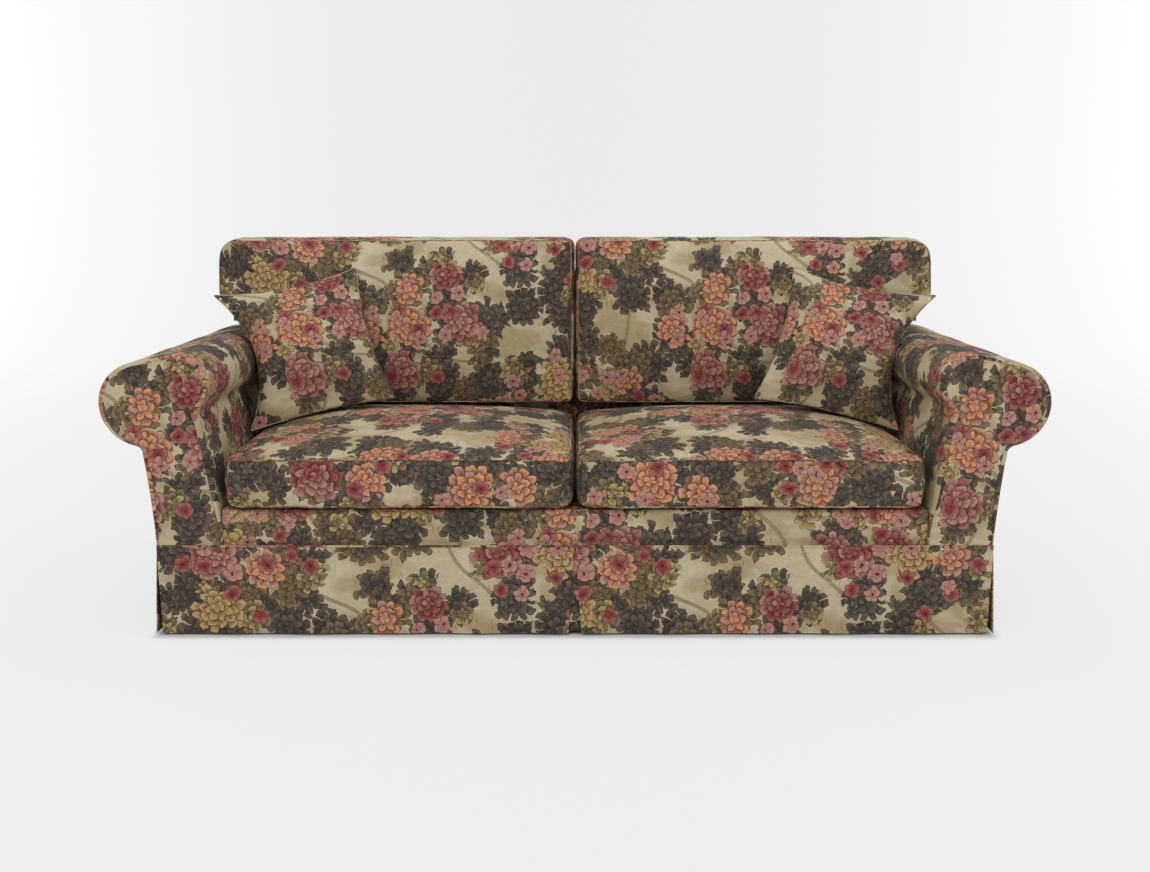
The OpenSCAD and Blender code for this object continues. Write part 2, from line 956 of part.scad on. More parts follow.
seat_share = [2 * seat_corner / seat_w, 2 * seat_corner / seat_d];
pip_rows = [[0.94, cushion_pip], [0.86, 0], [0, 1], [-0.86, 0], [-0.94, cushion_pip]];
function border_rows(bulge) = [for (r = pip_rows) [r[0], r[0] == 0 ? bulge : r[1]]];

module seat_skin(g, fine) {
  us = grid(seat_share.x, seat_share.x, fine ? 8 : 4, fine);
  vs = grid(seat_share.y, seat_share.y, fine ? 6 : 4, fine);
  skin(us, vs, fine ? border_rows(seat_bulge) : [[0, 0]], seat_at(g));
}

// The zip closes a slot in the border's rear
zip_z = (seat_low + seat_high + border_lift) / 2;
seat_rear = seat_cy + seat_d / 2 - seat_bulge;

module seat_filling(side) {
  color(foam)
    on_side(side)
      seat_skin(shell_t + fit, false);
}

module seat_cover(side) {
  color(print_fabric)
    on_side(side)
      difference() {
        seat_skin(0, true);
        seat_skin(shell_t, false);
        translate([seat_cx - zip_l / 2, seat_rear - 2 * shell_t, zip_z - zip_w / 2])
          cube([zip_l, 3 * shell_t, zip_w]);
      }
}

module zip_strip() {
  translate([-zip_l / 2 + bolt_gap, -zip_w / 2 + bolt_gap, 0])
    cube([zip_l - 2 * bolt_gap, zip_w - 2 * bolt_gap, shell_t]);
  translate([zip_l / 2 - pull_l - pull_w, -pull_w / 2, shell_t])
    cube([pull_l, pull_w, pull_t]);
}

module seat_zip(side) {
  color(zip_brown)
    on_side(side)
      translate([seat_cx, seat_rear - shell_t, zip_z])
        rotate([-90, 0, 0])
          zip_strip();
}

// Back cushions, drawn for the right side. Each stands on its seat cushion, which
// it touches rest_in behind its front.

rest_in = 14;
rest_v = (back_y(seat_high) - back_edge + rest_in - seat_cy) / (seat_d / 2 - seat_bulge);
cushion_low = seat_high + (seat_crown - border_lift) * swell(0, rest_v, 2.5) + fit;
cushion_h = height - cushion_low;
cushion_w = seat_half + back_spread - middle_gap / 2;
ear_w = stem_x + ear_out - middle_gap / 2;
cushion_cz = cushion_low + cushion_h / 2;

function ramp(t) = let (c = min(1, max(0, t))) c * c * (3 - 2 * c);
function ear_width(z) = cushion_w + (ear_w - cushion_w) * ramp((z - ear_z) / ear_step + 0.5);

function back_at(g) = function(u, v, s, out)
  let (
    push = v < -0.99 && s == 0 ? 0 : out,
    a = cushion_w / 2 - cushion_pip - g + push,
    b = cushion_h / 2 - cushion_pip - g + push,
    r = max((u > 0 ? ear_corner : ear_corner / 2) - g + push, 1),
    p = rounded(u * a, v * b, a, b, r),
    z = cushion_cz + p.y,
    wide = ear_width(z - 2 * g) - 2 * (cushion_pip + g - push),
    x = middle_gap / 2 + cushion_pip + g - push + (p.x / a + 1) / 2 * wide,
    far = back_y(z) - 1 - g - back_draw * rim(u, v),
    near = back_y(z) - back_edge + g - back_crown * swell(u, v + 0.12 * (1 - v * v), 2.4),
    y = s == 1 ? near : s == -1 ? far : (near + far) / 2 - s * (far - near) / 2)
      [x, y, z];

corner_share = 2 * ear_corner / cushion_h;
ear_v0 = 2 * (ear_z - ear_step / 2 - cushion_low) / cushion_h - 1;
ear_v1 = 2 * (ear_z + ear_step / 2 - cushion_low) / cushion_h - 1;
function between(a, b, n) = [for (i = [1 : n]) a + (b - a) * i / (n + 1)];

module back_skin(g, fine) {
  us = grid(ear_corner / cushion_w, 2 * ear_corner / cushion_w, fine ? 8 : 4, fine);
  low_edge = -1 + corner_share;
  high_edge = 1 - corner_share;
  vs = concat([-1], fine ? [-1 + corner_share / 2] : [], [low_edge], between(low_edge, ear_v0, fine ? 2 : 1),
              [ear_v0], fine ? [(ear_v0 + ear_v1) / 2] : [], [ear_v1], between(ear_v1, high_edge, fine ? 1 : 0),
              [high_edge], fine ? [1 - corner_share / 2] : [], [1]);
  skin(us, vs, fine ? border_rows(cushion_pip) : [[0, 0]], back_at(g));
}

module back_filling(side) {
  color(fibre)
    on_side(side)
      back_skin(shell_t + fit, false);
}

back_zip_x = middle_gap / 2 + cushion_w / 2;
back_zip_z = cushion_low + cushion_pip;
back_zip_y = back_y(back_zip_z) - (back_edge + 1 + back_draw) / 2;

module back_cushion_cover(side) {
  color(print_fabric)
    on_side(side)
      difference() {
        back_skin(0, true);
        back_skin(shell_t, false);
        translate([back_zip_x - zip_l / 2, back_zip_y - zip_w / 2, back_zip_z - shell_t])
          cube([zip_l, zip_w, 3 * shell_t]);
      }
}

module back_zip(side) {
  color(zip_brown)
    on_side(side)
      translate([back_zip_x, back_zip_y, back_zip_z + shell_t])
        rotate([180, 0, 0])
          zip_strip();
}

// Scatter cushions, drawn for the right side. Each leans in the corner of arm and back.

function scatter_at(g) = function(u, v, s, out)
  let (
    a = scatter_w / 2 - scatter_pip - 3 * g + out,
    draw = scatter_draw / a,
    half = scatter_pip * 0.8 + (scatter_t / 2 - scatter_pip) * pow(swell(u, v, 2), 0.7) - g * ramp(4 * swell(u, v, 2)))
      [a * u * (1 - draw * (1 - v * v)) - (u > 0 ? scatter_pinch * u * u * (1 - v * v) : 0),
       a * v * (1 - draw * (1 - u * u)) - (v < 0 ? scatter_sag * v * v * (1 - u * u) : 0),
       s * max(half, 1)];

module scatter_skin(g, fine) {
  lines = grid(0.16, 0.16, fine ? 8 : 4, false);
  skin(lines, lines, fine ? [[0, scatter_pip]] : [[0, 0]], scatter_at(g));
}

scatter_x = seat_half - scatter_in;
scatter_z = cushion_low + scatter_up;
scatter_y = back_y(scatter_z) - scatter_reach;

module scatter_place(side) {
  on_side(side)
    translate([scatter_x, scatter_y, scatter_z])
      rotate([0, 0, -scatter_turn])
        rotate([90 - scatter_lean, 0, 0])
          rotate([0, 0, -scatter_tilt])
            children();
}

module scatter_filling(side) {
  color(fibre)
    scatter_place(side)
      scatter_skin(shell_t + fit, false);
}

module scatter_cover(side) {
  color(print_fabric)
    scatter_place(side)
      difference() {
        scatter_skin(0, true);
        scatter_skin(shell_t, false);
      }
}

front_rail();
back_rail();
centre_rail();
corner_blocks();
feet();
foot_glides();
foot_bolts();
frame_bolts();
seat_springs();
spring_clips();
spring_pad();
seat_deck();
front_edge_pad();
front_border();
back_posts();
back_top_board();
back_lumbar_rail();
wing_blocks();
back_webbing();
back_pad();
inside_back_cover();
outside_back_cover();
dust_cover();
skirt_back();
pleat_inserts();
skirt_piping();
for (side = SIDES) {
  side_rail(side);
  arm_front_board(side);
  arm_rear_board(side);
  arm_top_rail(side);
  arm_pad(side);
  arm_cover(side);
  arm_front_panel(side);
  skirt_front(side);
  skirt_side(side);
  seat_filling(side);
  seat_cover(side);
  seat_zip(side);
  back_filling(side);
  back_cushion_cover(side);
  back_zip(side);
  scatter_filling(side);
  scatter_cover(side);
}
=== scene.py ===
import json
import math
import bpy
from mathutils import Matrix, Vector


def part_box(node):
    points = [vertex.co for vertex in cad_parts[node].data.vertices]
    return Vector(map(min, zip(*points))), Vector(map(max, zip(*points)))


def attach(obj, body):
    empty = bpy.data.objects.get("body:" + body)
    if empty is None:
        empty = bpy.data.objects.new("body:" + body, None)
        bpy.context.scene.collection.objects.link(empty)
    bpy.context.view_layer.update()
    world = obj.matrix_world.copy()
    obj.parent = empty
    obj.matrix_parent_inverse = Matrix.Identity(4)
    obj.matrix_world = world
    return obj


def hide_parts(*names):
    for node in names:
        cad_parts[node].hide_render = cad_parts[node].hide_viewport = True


bl_info = {
    "name": "Skirted Scroll-Arm Sofa",
    "version": (1, 0, 0),
    "blender": (4, 5, 0),
    "location": "View3D > Sidebar > Sofa",
    "description": "Dresses the sofa's frame in its printed cover, cushions and skirt, on a pale stage",
    "category": "Add Mesh",
}

import bpy
import numpy as np
from bpy.props import FloatProperty, FloatVectorProperty, IntProperty, PointerProperty
from mathutils import Matrix, Vector

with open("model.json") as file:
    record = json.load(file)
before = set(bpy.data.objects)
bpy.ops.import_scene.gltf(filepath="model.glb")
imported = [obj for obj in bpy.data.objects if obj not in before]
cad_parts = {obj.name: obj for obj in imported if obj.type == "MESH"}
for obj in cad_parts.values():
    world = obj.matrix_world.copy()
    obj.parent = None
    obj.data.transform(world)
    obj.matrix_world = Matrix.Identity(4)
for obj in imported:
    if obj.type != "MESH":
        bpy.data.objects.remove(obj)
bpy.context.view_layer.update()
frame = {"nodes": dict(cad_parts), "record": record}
NODES = frame["nodes"]
TURN = 2 * math.pi


# Places taken from the frame, in metres, on the right side

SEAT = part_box("seat_cover_right")
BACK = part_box("back_cushion_cover_right")
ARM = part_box("arm_cover_right")
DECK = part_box("seat_deck")
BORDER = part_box("front_border")
BACK_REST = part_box("inside_back_cover")
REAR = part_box("outside_back_cover")
SKIRT_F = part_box("skirt_front_right")
SKIRT_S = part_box("skirt_side_right")
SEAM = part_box("skirt_piping")

SEAT_HALF = SEAT[1].x
STEM_OUT = SKIRT_F[1].x
Y_FRONT = SKIRT_F[0].y
Y_REAR = REAR[1].y
SEAM_Z = (SEAM[0].z + SEAM[1].z) / 2
SEAM_R = (SEAM[1].z - SEAM[0].z) / 2
SKIRT_DROP = SEAM_Z - SKIRT_F[0].z
ARM_TOP = ARM[1].z
DECK_Z = DECK[1].z
BACK_FOOT = DECK[1].y
LEAN = math.tan(math.radians(10))
CLOTH = 0.003


def back_y(z):
    """Depth of the back's sloping front at a height."""
    return BACK_FOOT + LEAN * (z - DECK_Z)


# Settings that a user would change


def dye(name, description, colour):
    """A colour setting."""
    return FloatVectorProperty(
        name=name, description=description, subtype="COLOR", size=3, default=colour, min=0, max=1)


def distance(name, description, default, most, least=0.0):
    """A setting that is a length."""
    return FloatProperty(
        name=name, description=description, default=default, min=least, max=most,
        subtype="DISTANCE", unit="LENGTH", precision=4)


class ClothSettings(bpy.types.PropertyGroup):
    print_scale: FloatProperty(
        name="Print Scale", description="Size of the print's motifs against the drawn size",
        default=1.15, min=0.4, max=2.5)
    thread: distance("Thread Pitch", "Distance from thread to thread", 0.0011, 0.004, 0.0004)
    ground: dye("Ground", "Colour of the cloth between the motifs", (0.525, 0.450, 0.300))
    ground_shade: dye("Ground Shade", "Colour of the ground's mottling", (0.41, 0.325, 0.180))
    pale: dye("Pale", "Colour of the palest cloth and of the lights on petals", (0.63, 0.555, 0.385))
    leaf: dye("Leaf", "Colour of the dark leaves", (0.052, 0.039, 0.034))
    leaf_light: dye("Leaf Light", "Colour of the leaves' lit lobes", (0.125, 0.092, 0.070))
    olive: dye("Olive", "Colour of the brown-green leaves", (0.190, 0.128, 0.060))
    ochre: dye("Ochre", "Colour of the yellow petals", (0.47, 0.34, 0.115))
    line: dye("Line", "Colour of the drawn outlines", (0.030, 0.021, 0.018))
    red_line: dye("Red Line", "Colour of the outlines of petals", (0.085, 0.010, 0.012))
    coral: dye("Coral", "Colour of the largest blossoms", (0.62, 0.265, 0.130))
    pink: dye("Pink", "Colour of the dusty pink blossoms", (0.43, 0.195, 0.165))
    crimson: dye("Crimson", "Colour of the deep red blossoms", (0.25, 0.040, 0.046))


class CushionSettings(bpy.types.PropertyGroup):
    seam: distance("Seam Radius", "Radius of the rolled seams", 0.0016, 0.005, 0.0005)
    swell_cap: distance("Swell Cap", "Furthest that the filling pushes a point of a cover", 0.016, 0.03)
    pressure: FloatProperty(
        name="Filling Pressure", description="Pressure of the filling on its cover",
        default=4.0, min=0.0, max=20.0)
    pucker: distance("Pucker Depth", "Depth of the small creases along the seams", 0.0022, 0.01)
    soft_edge: distance(
        "Soft Edge", "How far the front seam of a cushion lies inside its outline", 0.003, 0.02)


class SkirtSettings(bpy.types.PropertyGroup):
    wave: distance("Hem Wave", "How far the hem waves in and out", 0.003, 0.01)
    folds: IntProperty(
        name="Folds", description="Number of soft folds along a front panel", default=5, min=0, max=20)


class StageSettings(bpy.types.PropertyGroup):
    key: FloatProperty(
        name="Key Light", description="Power of the large front lamp", default=46.0, min=0.0, unit="POWER")
    sky: FloatProperty(
        name="Ambient", description="Strength of the even light all round", default=0.60, min=0.0, max=2.0)
    ground: dye("Backdrop", "Colour of the floor and the wall", (0.885, 0.885, 0.885))


SETTINGS = {
    "cloth": ClothSettings,
    "cushions": CushionSettings,
    "skirt": SkirtSettings,
    "stage": StageSettings,
}


def settings(kind):
    return getattr(bpy.context.scene, "sofa_" + kind)


# Modelling helpers


def deselect():
    if bpy.context.object and bpy.context.object.mode != "OBJECT":
        bpy.ops.object.mode_set(mode="OBJECT")
    bpy.ops.object.select_all(action="DESELECT")


def take(obj):
    """Selects one object alone and makes it the active one."""
    deselect()
    obj.select_set(True)
    bpy.context.view_layer.objects.active = obj
    return obj


def named(obj, name):
    obj.name = name
    obj.data.name = name
    return obj


def twin(obj, name):
    """A copy of a piece with its own mesh."""
    copy = obj.copy()
    copy.data = obj.data.copy()
    bpy.context.scene.collection.objects.link(copy)
    return named(copy, name)


def join(objs, name):
    """Joins objects into the first and names it."""
    take(objs[0])
    for o in objs[1:]:
        o.select_set(True)
    bpy.ops.object.join()
    return named(objs[0], name)


def read(items, key, width=1, kind=float):
    """One value, or a row of them, for each vertex, edge, face or corner of a mesh."""
    values = np.empty(len(items) * width, kind)
    items.foreach_get(key, values)
    return values.reshape(-1, width) if width > 1 else values


def points(obj):
    return read(obj.data.vertices, "co", 3)


def normals(obj):
    return read(obj.data.vertices, "normal", 3)


def put_points(obj, co):
    obj.data.vertices.foreach_set("co", np.asarray(co, dtype=np.float32).ravel())
    obj.data.update()


def blend(a, b, t):
    return a + (b - a) * t


def row(t, n):
    """The number of the row, out of n, that each share t from 0 to 1 stands for."""
    return np.rint(t * n).astype(int)


def plane(name, nx, ny, size, middle):
    """A flat square of nx by ny cells."""
    deselect()
    bpy.ops.mesh.primitive_grid_add(x_subdivisions=nx, y_subdivisions=ny, size=size, location=middle)
    bpy.ops.object.transform_apply(location=True, rotation=True, scale=True)
    obj = bpy.context.object
    while obj.data.uv_layers:
        obj.data.uv_layers.remove(obj.data.uv_layers[0])
    return named(obj, name)


def grid(name, nx, ny):
    """A flat cloth, u and v from 0 to 1."""
    return plane(name, nx, ny, 1, (0.5, 0.5, 0))


def drawn(name, nx, ny, place):
    """A cloth whose points place(u, v) gives as x, y and z."""
    obj = grid(name, nx, ny)
    u, v, _ = points(obj).T
    put_points(obj, np.column_stack(np.broadcast_arrays(*place(u, v))))
    return obj


def lay(obj, place):
    """Gives a piece its cloth map, in metres: place(co, vertex, face) returns u and v for each corner."""
    me = obj.data
    layer = me.uv_layers.get("cloth") or me.uv_layers.new(name="cloth")
    vertex = read(me.loops, "vertex_index", kind=np.int64)
    face = np.repeat(np.arange(len(me.polygons)), read(me.polygons, "loop_total", kind=np.int64))
    uv = place(points(obj)[vertex], vertex, face)
    layer.data.foreach_set("uv", np.asarray(uv, dtype=np.float32).ravel())
    return obj


def lay_flat(obj, u_axis, v_axis, origin=(0, 0, 0)):
    """Lays the print straight through the piece along two directions."""
    axes = np.array((u_axis, v_axis), float).T
    return lay(obj, lambda co, v, f: (co - np.array(origin)) @ axes)


def lay_boxed(obj):
    """Lays the print on each face from the side that it faces most."""

    def place(co, v, f):
        a = np.abs(read(obj.data.polygons, "normal", 3))[f]
        side = (a[:, 0] > a[:, 1]) & (a[:, 0] > a[:, 2])
        top = (a[:, 2] >= a[:, 1]) & ~side
        return np.c_[np.where(side, co[:, 1], co[:, 0]), np.where(top, co[:, 1], co[:, 2])]

    return lay(obj, place)


def apply(obj, kind, **values):
    """Adds a modifier with these values and applies it."""
    take(obj)
    m = obj.modifiers.new(kind.title(), kind)
    for key, value in values.items():
        setattr(m, key, value)
    bpy.ops.object.modifier_apply(modifier=m.name)
    return obj


def edit(obj, operator, **values):
    """Runs an edit-mode operator on the whole mesh."""
    take(obj)
    bpy.ops.object.mode_set(mode="EDIT")
    bpy.ops.mesh.select_all(action="SELECT")
    operator(**values)
    bpy.ops.object.mode_set(mode="OBJECT")
    return obj


def outward(obj):
    return edit(obj, bpy.ops.mesh.normals_make_consistent, inside=False)


def flip(obj):
    return edit(obj, bpy.ops.mesh.flip_normals)


def weld(obj, reach):
    return edit(obj, bpy.ops.mesh.remove_doubles, threshold=reach)


def smooth(obj, degrees=None):
    take(obj)
    if degrees is None:
        bpy.ops.object.shade_smooth()
    else:
        bpy.ops.object.shade_smooth_by_angle(angle=math.radians(degrees))
    return obj


def thicken(obj, thickness=CLOTH, offset=-1):
    """Gives a cloth its thickness."""
    return smooth(apply(obj, "SOLIDIFY", thickness=thickness, offset=offset), 50)


def ripple(co, size, seed=0):
    """A smooth irregular wave from about -1 to 1 that varies over the given size."""
    total = np.zeros(len(co))
    for k in range(6):
        a = 2.399963 * (k + 1) + seed
        b = 1.7 * (k + 1) + 2.3 * seed
        way = np.array([math.cos(a) * math.sin(b), math.sin(a) * math.sin(b), math.cos(b)])
        total += np.sin(co @ way * (TURN / size) * (0.7 + 0.13 * k) + 5.1 * k + seed)
    return total / 3.2


def swell(u, v, p):
    """1 at the middle of a panel and 0 at its edges; a higher power is flatter."""
    return (1 - np.abs(u) ** p) * (1 - np.abs(v) ** p)


def ramp(t):
    c = np.clip(t, 0, 1)
    return c * c * (3 - 2 * c)


def run_along(path):
    """How far along a line each of its points lies."""
    return np.r_[0, np.cumsum(np.linalg.norm(np.diff(path, axis=0), axis=1))]


def even(path, n):
    """n + 1 points evenly along a line, and how far along it they lie."""
    run = run_along(path)
    s = np.linspace(0, run[-1], n + 1)
    return np.stack([np.interp(s, run, path[:, k]) for k in range(path.shape[1])], 1), s


def spaced(ring, step):
    """The same closed line with its points a step apart."""
    path = np.vstack([ring, ring[:1]])
    return even(path, max(2, int(round(run_along(path)[-1] / step))))[0][:-1]


def arc(x, y, radius, start, stop, steps=6):
    """Points round a centre from one angle to another."""
    turns = [blend(start, stop, t / steps) for t in range(steps + 1)]
    return [(x + radius * math.cos(a), y + radius * math.sin(a)) for a in turns]


def tube(name, path, radius, closed=False, sides=3):
    """Piping along a path."""
    curve = bpy.data.curves.new(name, "CURVE")
    curve.dimensions = "3D"
    curve.bevel_depth = radius
    curve.bevel_resolution = sides
    curve.use_fill_caps = not closed
    spline = curve.splines.new("POLY")
    spline.points.add(len(path) - 1)
    spline.points.foreach_set("co", np.c_[path, np.ones(len(path))].astype(np.float32).ravel())
    spline.use_cyclic_u = closed
    obj = bpy.data.objects.new(name, curve)
    bpy.context.scene.collection.objects.link(obj)
    take(obj)
    bpy.ops.object.convert(target="MESH")
    return smooth(lay_boxed(bpy.context.object))


def mirrored(obj):
    """A copy of a right-hand piece for the left side, its print unmirrored."""
    copy = twin(obj, obj.name.replace("right", "left"))
    put_points(copy, points(copy) * (-1, 1, 1))
    flip(copy)
    layer = copy.data.uv_layers["cloth"]
    uv = read(layer.data, "uv", 2, np.float32) * np.float32((-1, 1))
    layer.data.foreach_set("uv", uv.ravel())
    return copy


def dress(obj, body, *nodes, slot="print_fabric"):
    """Gives a finished piece its material, its body and the nodes that it stands for."""
    obj.data.materials.clear()
    obj.data.materials.append(cloth() if slot == "print_fabric" else bpy.data.materials[slot])
    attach(obj, body)
    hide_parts(*nodes)


def pair(right, body, node, slot="print_fabric"):
    """Copies a right-hand piece to the left and dresses both."""
    sides = {"right": right, "left": mirrored(right)}
    for side, obj in sides.items():
        dress(obj, body.replace("right", side), node.replace("right", side), slot=slot)
    return sides


def padded_pair(right, body, node, slot="print_fabric"):
    for obj in pair(right, body, node, slot).values():
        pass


# Shader helpers


def maths(operation):
    """A method that puts a wire, with what else is given, through one kind of maths node."""
    return lambda self, *others: self.do(operation, self, *others)


class Wire:
    """A number in a shader tree, which sums and products can be written with."""

    def __init__(self, tree, socket):
        self.tree = tree
        self.socket = socket

    def do(self, operation, *values):
        node = self.tree.nodes.new("ShaderNodeMath")
        node.operation = operation
        for place, value in enumerate(values):
            feed(self.tree, node.inputs[place], value)
        return Wire(self.tree, node.outputs[0])

    __add__ = __radd__ = maths("ADD")
    __sub__ = maths("SUBTRACT")
    __mul__ = __rmul__ = maths("MULTIPLY")
    __truediv__ = maths("DIVIDE")
    __pow__ = maths("POWER")
    __abs__ = maths("ABSOLUTE")
    floor = maths("FLOOR")
    fract = maths("FRACT")
    sine = maths("SINE")
    cosine = maths("COSINE")
    angle = maths("ARCTAN2")
    swing = maths("PINGPONG")
    least = maths("MINIMUM")
    most = maths("MAXIMUM")
    over = maths("GREATER_THAN")
    under = maths("LESS_THAN")

    def __rsub__(self, other):
        return self.do("SUBTRACT", other, self)

    def step(self, low, high):
        """0 at low and 1 at high, smooth between; low may be above high."""
        node = self.tree.nodes.new("ShaderNodeMapRange")
        node.interpolation_type = "SMOOTHSTEP"
        for place, value in enumerate((self, low, high)):
            feed(self.tree, node.inputs[place], value)
        return Wire(self.tree, node.outputs[0])


def feed(tree, socket, value):
    """Links a wire or a socket, or sets a plain value."""
    if isinstance(value, Wire):
        value = value.socket
    if isinstance(value, bpy.types.NodeSocket):
        tree.links.new(value, socket)
    elif socket.type == "RGBA" and len(value) == 3:
        socket.default_value = (*value, 1)
    else:
        socket.default_value = value


class Painter:
    """Adds nodes to one tree."""

    def __init__(self, tree):
        self.tree = tree

    def put(self, kind, inputs=None, **values):
        node = self.tree.nodes.new(kind)
        for key, value in values.items():
            setattr(node, key, value)
        for key, value in (inputs or {}).items():
            feed(self.tree, node.inputs[key], value)
        return node

    def wire(self, socket):
        return Wire(self.tree, socket) if socket.type == "VALUE" else socket

    def vector(self, operation, a, b):
        return self.put("ShaderNodeVectorMath", {0: a, 1: b}, operation=operation).outputs["Vector"]

    def length(self, a):
        return self.wire(self.put("ShaderNodeVectorMath", {0: a}, operation="LENGTH").outputs["Value"])

    def times(self, vector, factor):
        node = self.put("ShaderNodeVectorMath", {0: vector, "Scale": factor}, operation="SCALE")
        return node.outputs["Vector"]

    def turned(self, vector, angle):
        node = self.put("ShaderNodeVectorRotate", {"Vector": vector, "Angle": angle}, rotation_type="Z_AXIS")
        return node.outputs[0]

    def mix(self, factor, a, b, blend="MIX"):
        node = self.put("ShaderNodeMix", {0: factor, 6: a, 7: b}, data_type="RGBA", blend_type=blend)
        return node.outputs[2]

    def noise(self, vector, scale, detail, roughness, dims="2D"):
        inputs = {"Vector": vector, "Scale": scale, "Detail": detail, "Roughness": roughness}
        return self.put("ShaderNodeTexNoise", inputs, noise_dimensions=dims)

    def cloud(self, *noise):
        return self.wire(self.noise(*noise).outputs["Fac"])

    def chance(self, x, y):
        """A random number from 0 to 1 for each pair of whole numbers."""
        node = self.put("ShaderNodeTexWhiteNoise", {"Vector": self.joined(x, y)}, noise_dimensions="2D")
        return self.wire(node.outputs["Value"])

    def parts(self, vector):
        node = self.put("ShaderNodeSeparateXYZ", {0: vector})
        return self.wire(node.outputs[0]), self.wire(node.outputs[1])

    def joined(self, x, y):
        return self.put("ShaderNodeCombineXYZ", {0: x, 1: y}).outputs[0]

    def stretched(self, vector, scale):
        return self.put("ShaderNodeMapping", {0: vector, "Scale": scale}).outputs[0]

    def use(self, tree, **inputs):
        node = self.tree.nodes.new("ShaderNodeGroup")
        node.node_tree = tree
        for key, value in inputs.items():
            feed(self.tree, node.inputs[key.title()], value)
        return {o.name: self.wire(o) for o in node.outputs}

    def finish(self, shader):
        self.put("ShaderNodeOutputMaterial", {0: shader.outputs[0]})


def new_material(name):
    """An empty material and the painter of its tree."""
    material = bpy.data.materials.new(name)
    material.use_nodes = True
    material.node_tree.nodes.clear()
    return material, Painter(material.node_tree)


PLACES = ("Cloth", "Local", "Centre", "Point")


def group(name, inputs, outputs):
    """A new node group: its painter, what it is given and a function that closes it."""
    tree = bpy.data.node_groups.new(name, "ShaderNodeTree")
    for labels, way in ((inputs, "INPUT"), (outputs, "OUTPUT")):
        for label in labels.split():
            kind = "Vector" if label in PLACES else "Float"
            tree.interface.new_socket(label, in_out=way, socket_type="NodeSocket" + kind)
    painter = Painter(tree)
    given = {s.name: painter.wire(s) for s in tree.nodes.new("NodeGroupInput").outputs}
    out = tree.nodes.new("NodeGroupOutput").inputs

    def close(*values):
        for socket, value in zip(out, values):
            feed(tree, socket, value)
        return tree

    return painter, given, close


def strewn_group():
    """Motif centres strewn over the cloth: where a point lies from its motif's centre, turned at random."""
    p, given, close = group("Strewn Motifs", "Cloth Pitch Seed Loose", "Local Centre Chance Other")
    shift = p.times(p.joined(0.731, 1.377), given["Seed"])
    shifted = p.vector("ADD", given["Cloth"], shift)
    cells = p.put(
        "ShaderNodeTexVoronoi",
        {"Vector": shifted, "Scale": given["Pitch"] ** -1.0, "Randomness": given["Loose"]},
        voronoi_dimensions="2D", feature="F1")
    colour = p.put("ShaderNodeSeparateColor", {0: cells.outputs["Color"]}).outputs
    local = p.vector("SUBTRACT", shifted, cells.outputs["Position"])
    turned = p.turned(local, p.wire(colour[0]) * TURN)
    return close(turned, p.vector("SUBTRACT", cells.outputs["Position"], shift), colour[1], colour[2])


def spray_group():
    """The half-drop layout of the sprays: how far away the nearest spray is."""
    width, height = 0.330, 0.46
    p, given, close = group("Spray Layout", "Point", "Away")
    x, y = p.parts(given["Point"])
    column = (x / width + 0.5).floor()
    drop = column.swing(1.0) * (height / 2)
    line = ((y - drop) / height + 0.5).floor()
    across, up = x - column * width, y - line * height - drop
    return close((across * across + up * up * 1.15) ** 0.5)


def rosette_group():
    """Rings of round-tipped petals or leaves that lie over each other like scales."""
    p, given, close = group("Rosette", "Local Ring Rings First More Gap Seed", "Mask Line Shade Petal")
    x, y = p.parts(given["Local"])
    way = y.angle(x) / TURN
    reach = p.length(given["Local"]) / given["Ring"]
    ring = reach.floor()
    along = reach - ring

    def sector(level):
        turn = way * (given["First"] + given["More"] * level) + p.chance(level, given["Seed"])
        return turn.fract() - 0.5, turn.floor()

    across, petal = sector(ring)
    tip = (1.0 - (abs(across) * 2.0) ** 2.4) ** 0.55
    below = along.under(tip)
    across_out, petal_out = sector(ring + 1.0)
    level = ring + 1.0 - below
    petal = petal * below + petal_out * (1.0 - below)
    across = across * below + across_out * (1.0 - below)
    number = p.chance(petal + given["Seed"] * 17.0, level)
    line = abs(along - tip).step(0.16, 0.07)
    line = line.most(abs(across).step(0.44, 0.49) * (1.0 - below))
    grown = along - (1.0 - below)
    shade = grown.step(-0.45, 0.75)
    vein = abs(across).step(0.07, 0.025) * grown.step(0.62, 0.30)
    kept = (given["Rings"] - level - 0.5).over(0.0)
    outermost = (level + 1.5 - given["Rings"]).over(0.0)
    kept = kept * (1.0 - outermost * given["Gap"].over(number))
    side = abs(across).step(0.47, 0.42).most(1.0 - outermost)
    return close(kept * side, line.most(vein * 0.6), shade, number)


def blossom_group():
    """A flower of five petals: its mask, its drawn lines, its shading and its heart."""
    p, given, close = group("Blossom", "Local Size Petals", "Mask Line Shade Heart")
    x, y = p.parts(given["Local"])
    half = y.angle(x) * given["Petals"] * 0.5
    reach = p.length(given["Local"]) / given["Size"]
    wave = abs(half.cosine())
    notch = abs((half * 2.0).cosine()) * 0.05
    rim = wave ** 0.55 * 0.30 + notch + 0.65
    depth = rim - reach
    parting = wave.step(0.24, 0.10) * reach.step(0.30, 0.50)
    streaks = abs((half * 5.0).sine()).step(0.45, 0.15) * reach.step(0.22, 0.30) * reach.step(0.62, 0.42)
    line = abs(depth).step(0.11, 0.05).most(parting).most(streaks * 0.6)
    return close(depth.step(0.0, 0.03), line, reach.step(0.25, 0.85), reach.step(0.22, 0.15))


